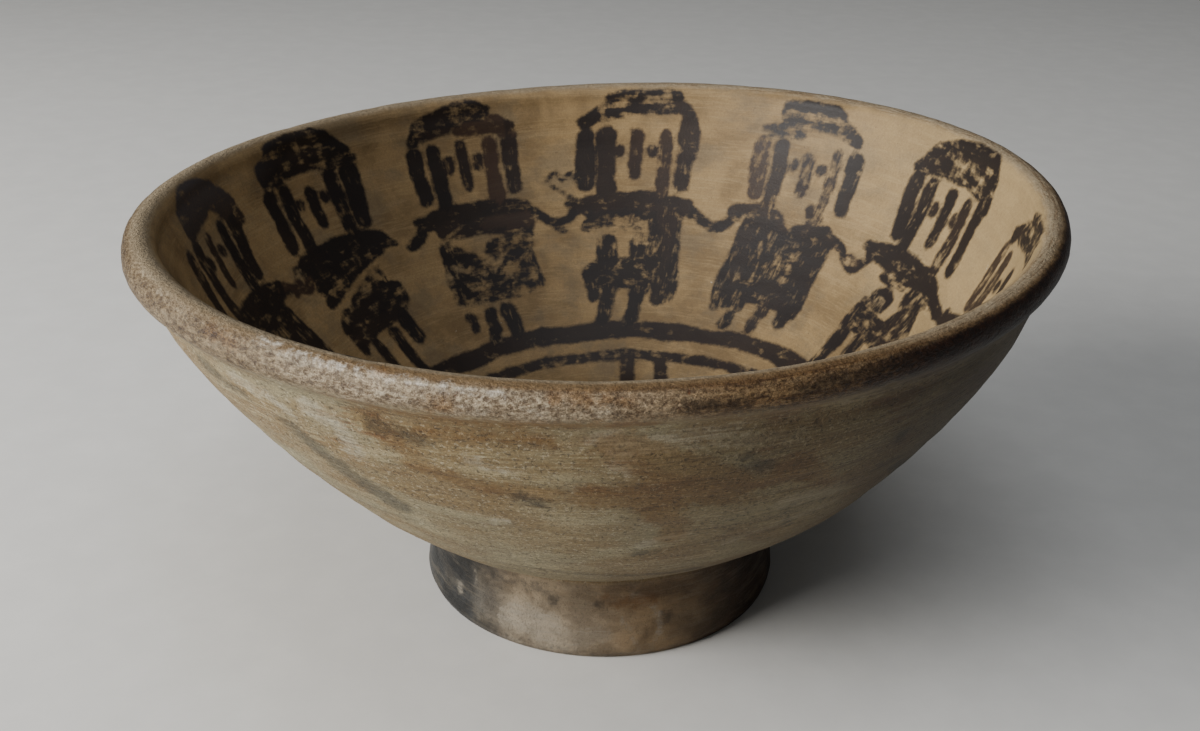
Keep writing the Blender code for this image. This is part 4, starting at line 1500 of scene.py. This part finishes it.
# The photograph's camera, in metres and degrees
CAMERA_PLACE = Vector((0.00176, -0.2568, 0.16888))
CAMERA_DIP = math.radians(26.576)
CAMERA_ROLL = math.radians(1.24)
CAMERA_LENS_MM, CAMERA_SENSOR_MM = 40.5, 36.0
CAMERA_SHIFT = (-0.0051, 0.0230)
CAMERA_CLIP = (0.01, 50.0)

# Lights: where each stands, what it points at, its width and height, its tint and its power
LIGHTS = {
    "window": ((-0.80, -0.34, 0.42), (0.0, 0.0, 0.05), (0.60, 0.46), (1.0, 0.985, 0.96), "key_power"),
    "fill": ((0.05, -0.30, 1.20), (0.05, 0.0, 0.0), (0.9, 0.9), (0.93, 0.96, 1.0), "fill_power"),
}
SURROUNDINGS_TINT = (0.86, 0.89, 0.92)


def add_light(scene, name, place, target, size, tint, power):
    """A rectangular area light at a place that points at a target."""
    data = bpy.data.lights.new(name, "AREA")
    data.shape = "RECTANGLE"
    data.size, data.size_y = size
    data.energy = power
    data.color = tint
    light = bpy.data.objects.new(name, data)
    way = Vector(target) - Vector(place)
    light.matrix_world = Matrix.Translation(place) @ way.to_track_quat("-Z", "Y").to_matrix().to_4x4()
    scene.collection.objects.link(light)


class BOWL_OT_make_stage(Operator):
    """Make the floor, the lights and the camera"""

    bl_idname = "bowl.make_stage"
    bl_label = "Make stage"

    def execute(self, context):
        scene, look = context.scene, context.scene.bowl_stage
        angles = np.arange(FLOOR_CORNERS) * FULL_TURN / FLOOR_CORNERS
        rim = turned(look.floor_radius, angles, np.zeros(FLOOR_CORNERS))
        mesh = bpy.data.meshes.new("floor")
        mesh.from_pydata(rim.tolist(), [], [list(range(FLOOR_CORNERS))])
        mesh.materials.append(floor_material(look.floor_colour))
        floor = bpy.data.objects.new("floor", mesh)
        scene.collection.objects.link(floor)

        for name, (*light, power) in LIGHTS.items():
            add_light(scene, name, *light, getattr(look, power))
        world = bpy.data.worlds.new("soft_surroundings")
        world.use_nodes = True
        background = world.node_tree.nodes["Background"]
        background.inputs["Color"].default_value = rgb(SURROUNDINGS_TINT)
        background.inputs["Strength"].default_value = look.surroundings
        scene.world = world

        data = bpy.data.cameras.new("camera")
        data.lens, data.sensor_width = CAMERA_LENS_MM, CAMERA_SENSOR_MM
        data.shift_x, data.shift_y = CAMERA_SHIFT
        data.clip_start, data.clip_end = CAMERA_CLIP
        camera = bpy.data.objects.new("camera", data)
        level = Matrix.Rotation(math.pi / 2.0 - CAMERA_DIP, 4, "X")
        camera.matrix_world = Matrix.Translation(CAMERA_PLACE) @ level @ Matrix.Rotation(CAMERA_ROLL, 4, "Z")
        scene.collection.objects.link(camera)
        scene.camera = camera
        return {"FINISHED"}


class BOWL_PT_panel(Panel):
    """Sizes, colours and makers of the bowl and its stage"""

    bl_idname = "BOWL_PT_panel"
    bl_label = "Painted bowl"
    bl_space_type = "VIEW_3D"
    bl_region_type = "UI"
    bl_category = "Bowl"

    def draw(self, context):
        for setting in SETTINGS:
            box = self.layout.box()
            for name in SETTINGS[setting].__annotations__:
                box.prop(getattr(context.scene, setting), name)
        self.layout.operator(BOWL_OT_make_bowl.bl_idname)
        self.layout.operator(BOWL_OT_make_stage.bl_idname)


CLASSES = (BowlSizes, BowlColours, StageLook, BOWL_OT_make_bowl, BOWL_OT_make_stage, BOWL_PT_panel)
SETTINGS = {"bowl_sizes": BowlSizes, "bowl_colours": BowlColours, "bowl_stage": StageLook}


def register():
    """Register the classes and put their settings on the scene."""
    for made in CLASSES:
        bpy.utils.register_class(made)
    for name, kind in SETTINGS.items():
        setattr(bpy.types.Scene, name, PointerProperty(type=kind))


def unregister():
    """Take the settings and the classes away again."""
    for name in SETTINGS:
        delattr(bpy.types.Scene, name)
    for made in reversed(CLASSES):
        bpy.utils.unregister_class(made)


def main():
    """Make the bowl and its stage."""
    register()
    bpy.ops.bowl.make_bowl()
    bpy.ops.bowl.make_stage()


if __name__ == "__main__":
    main()
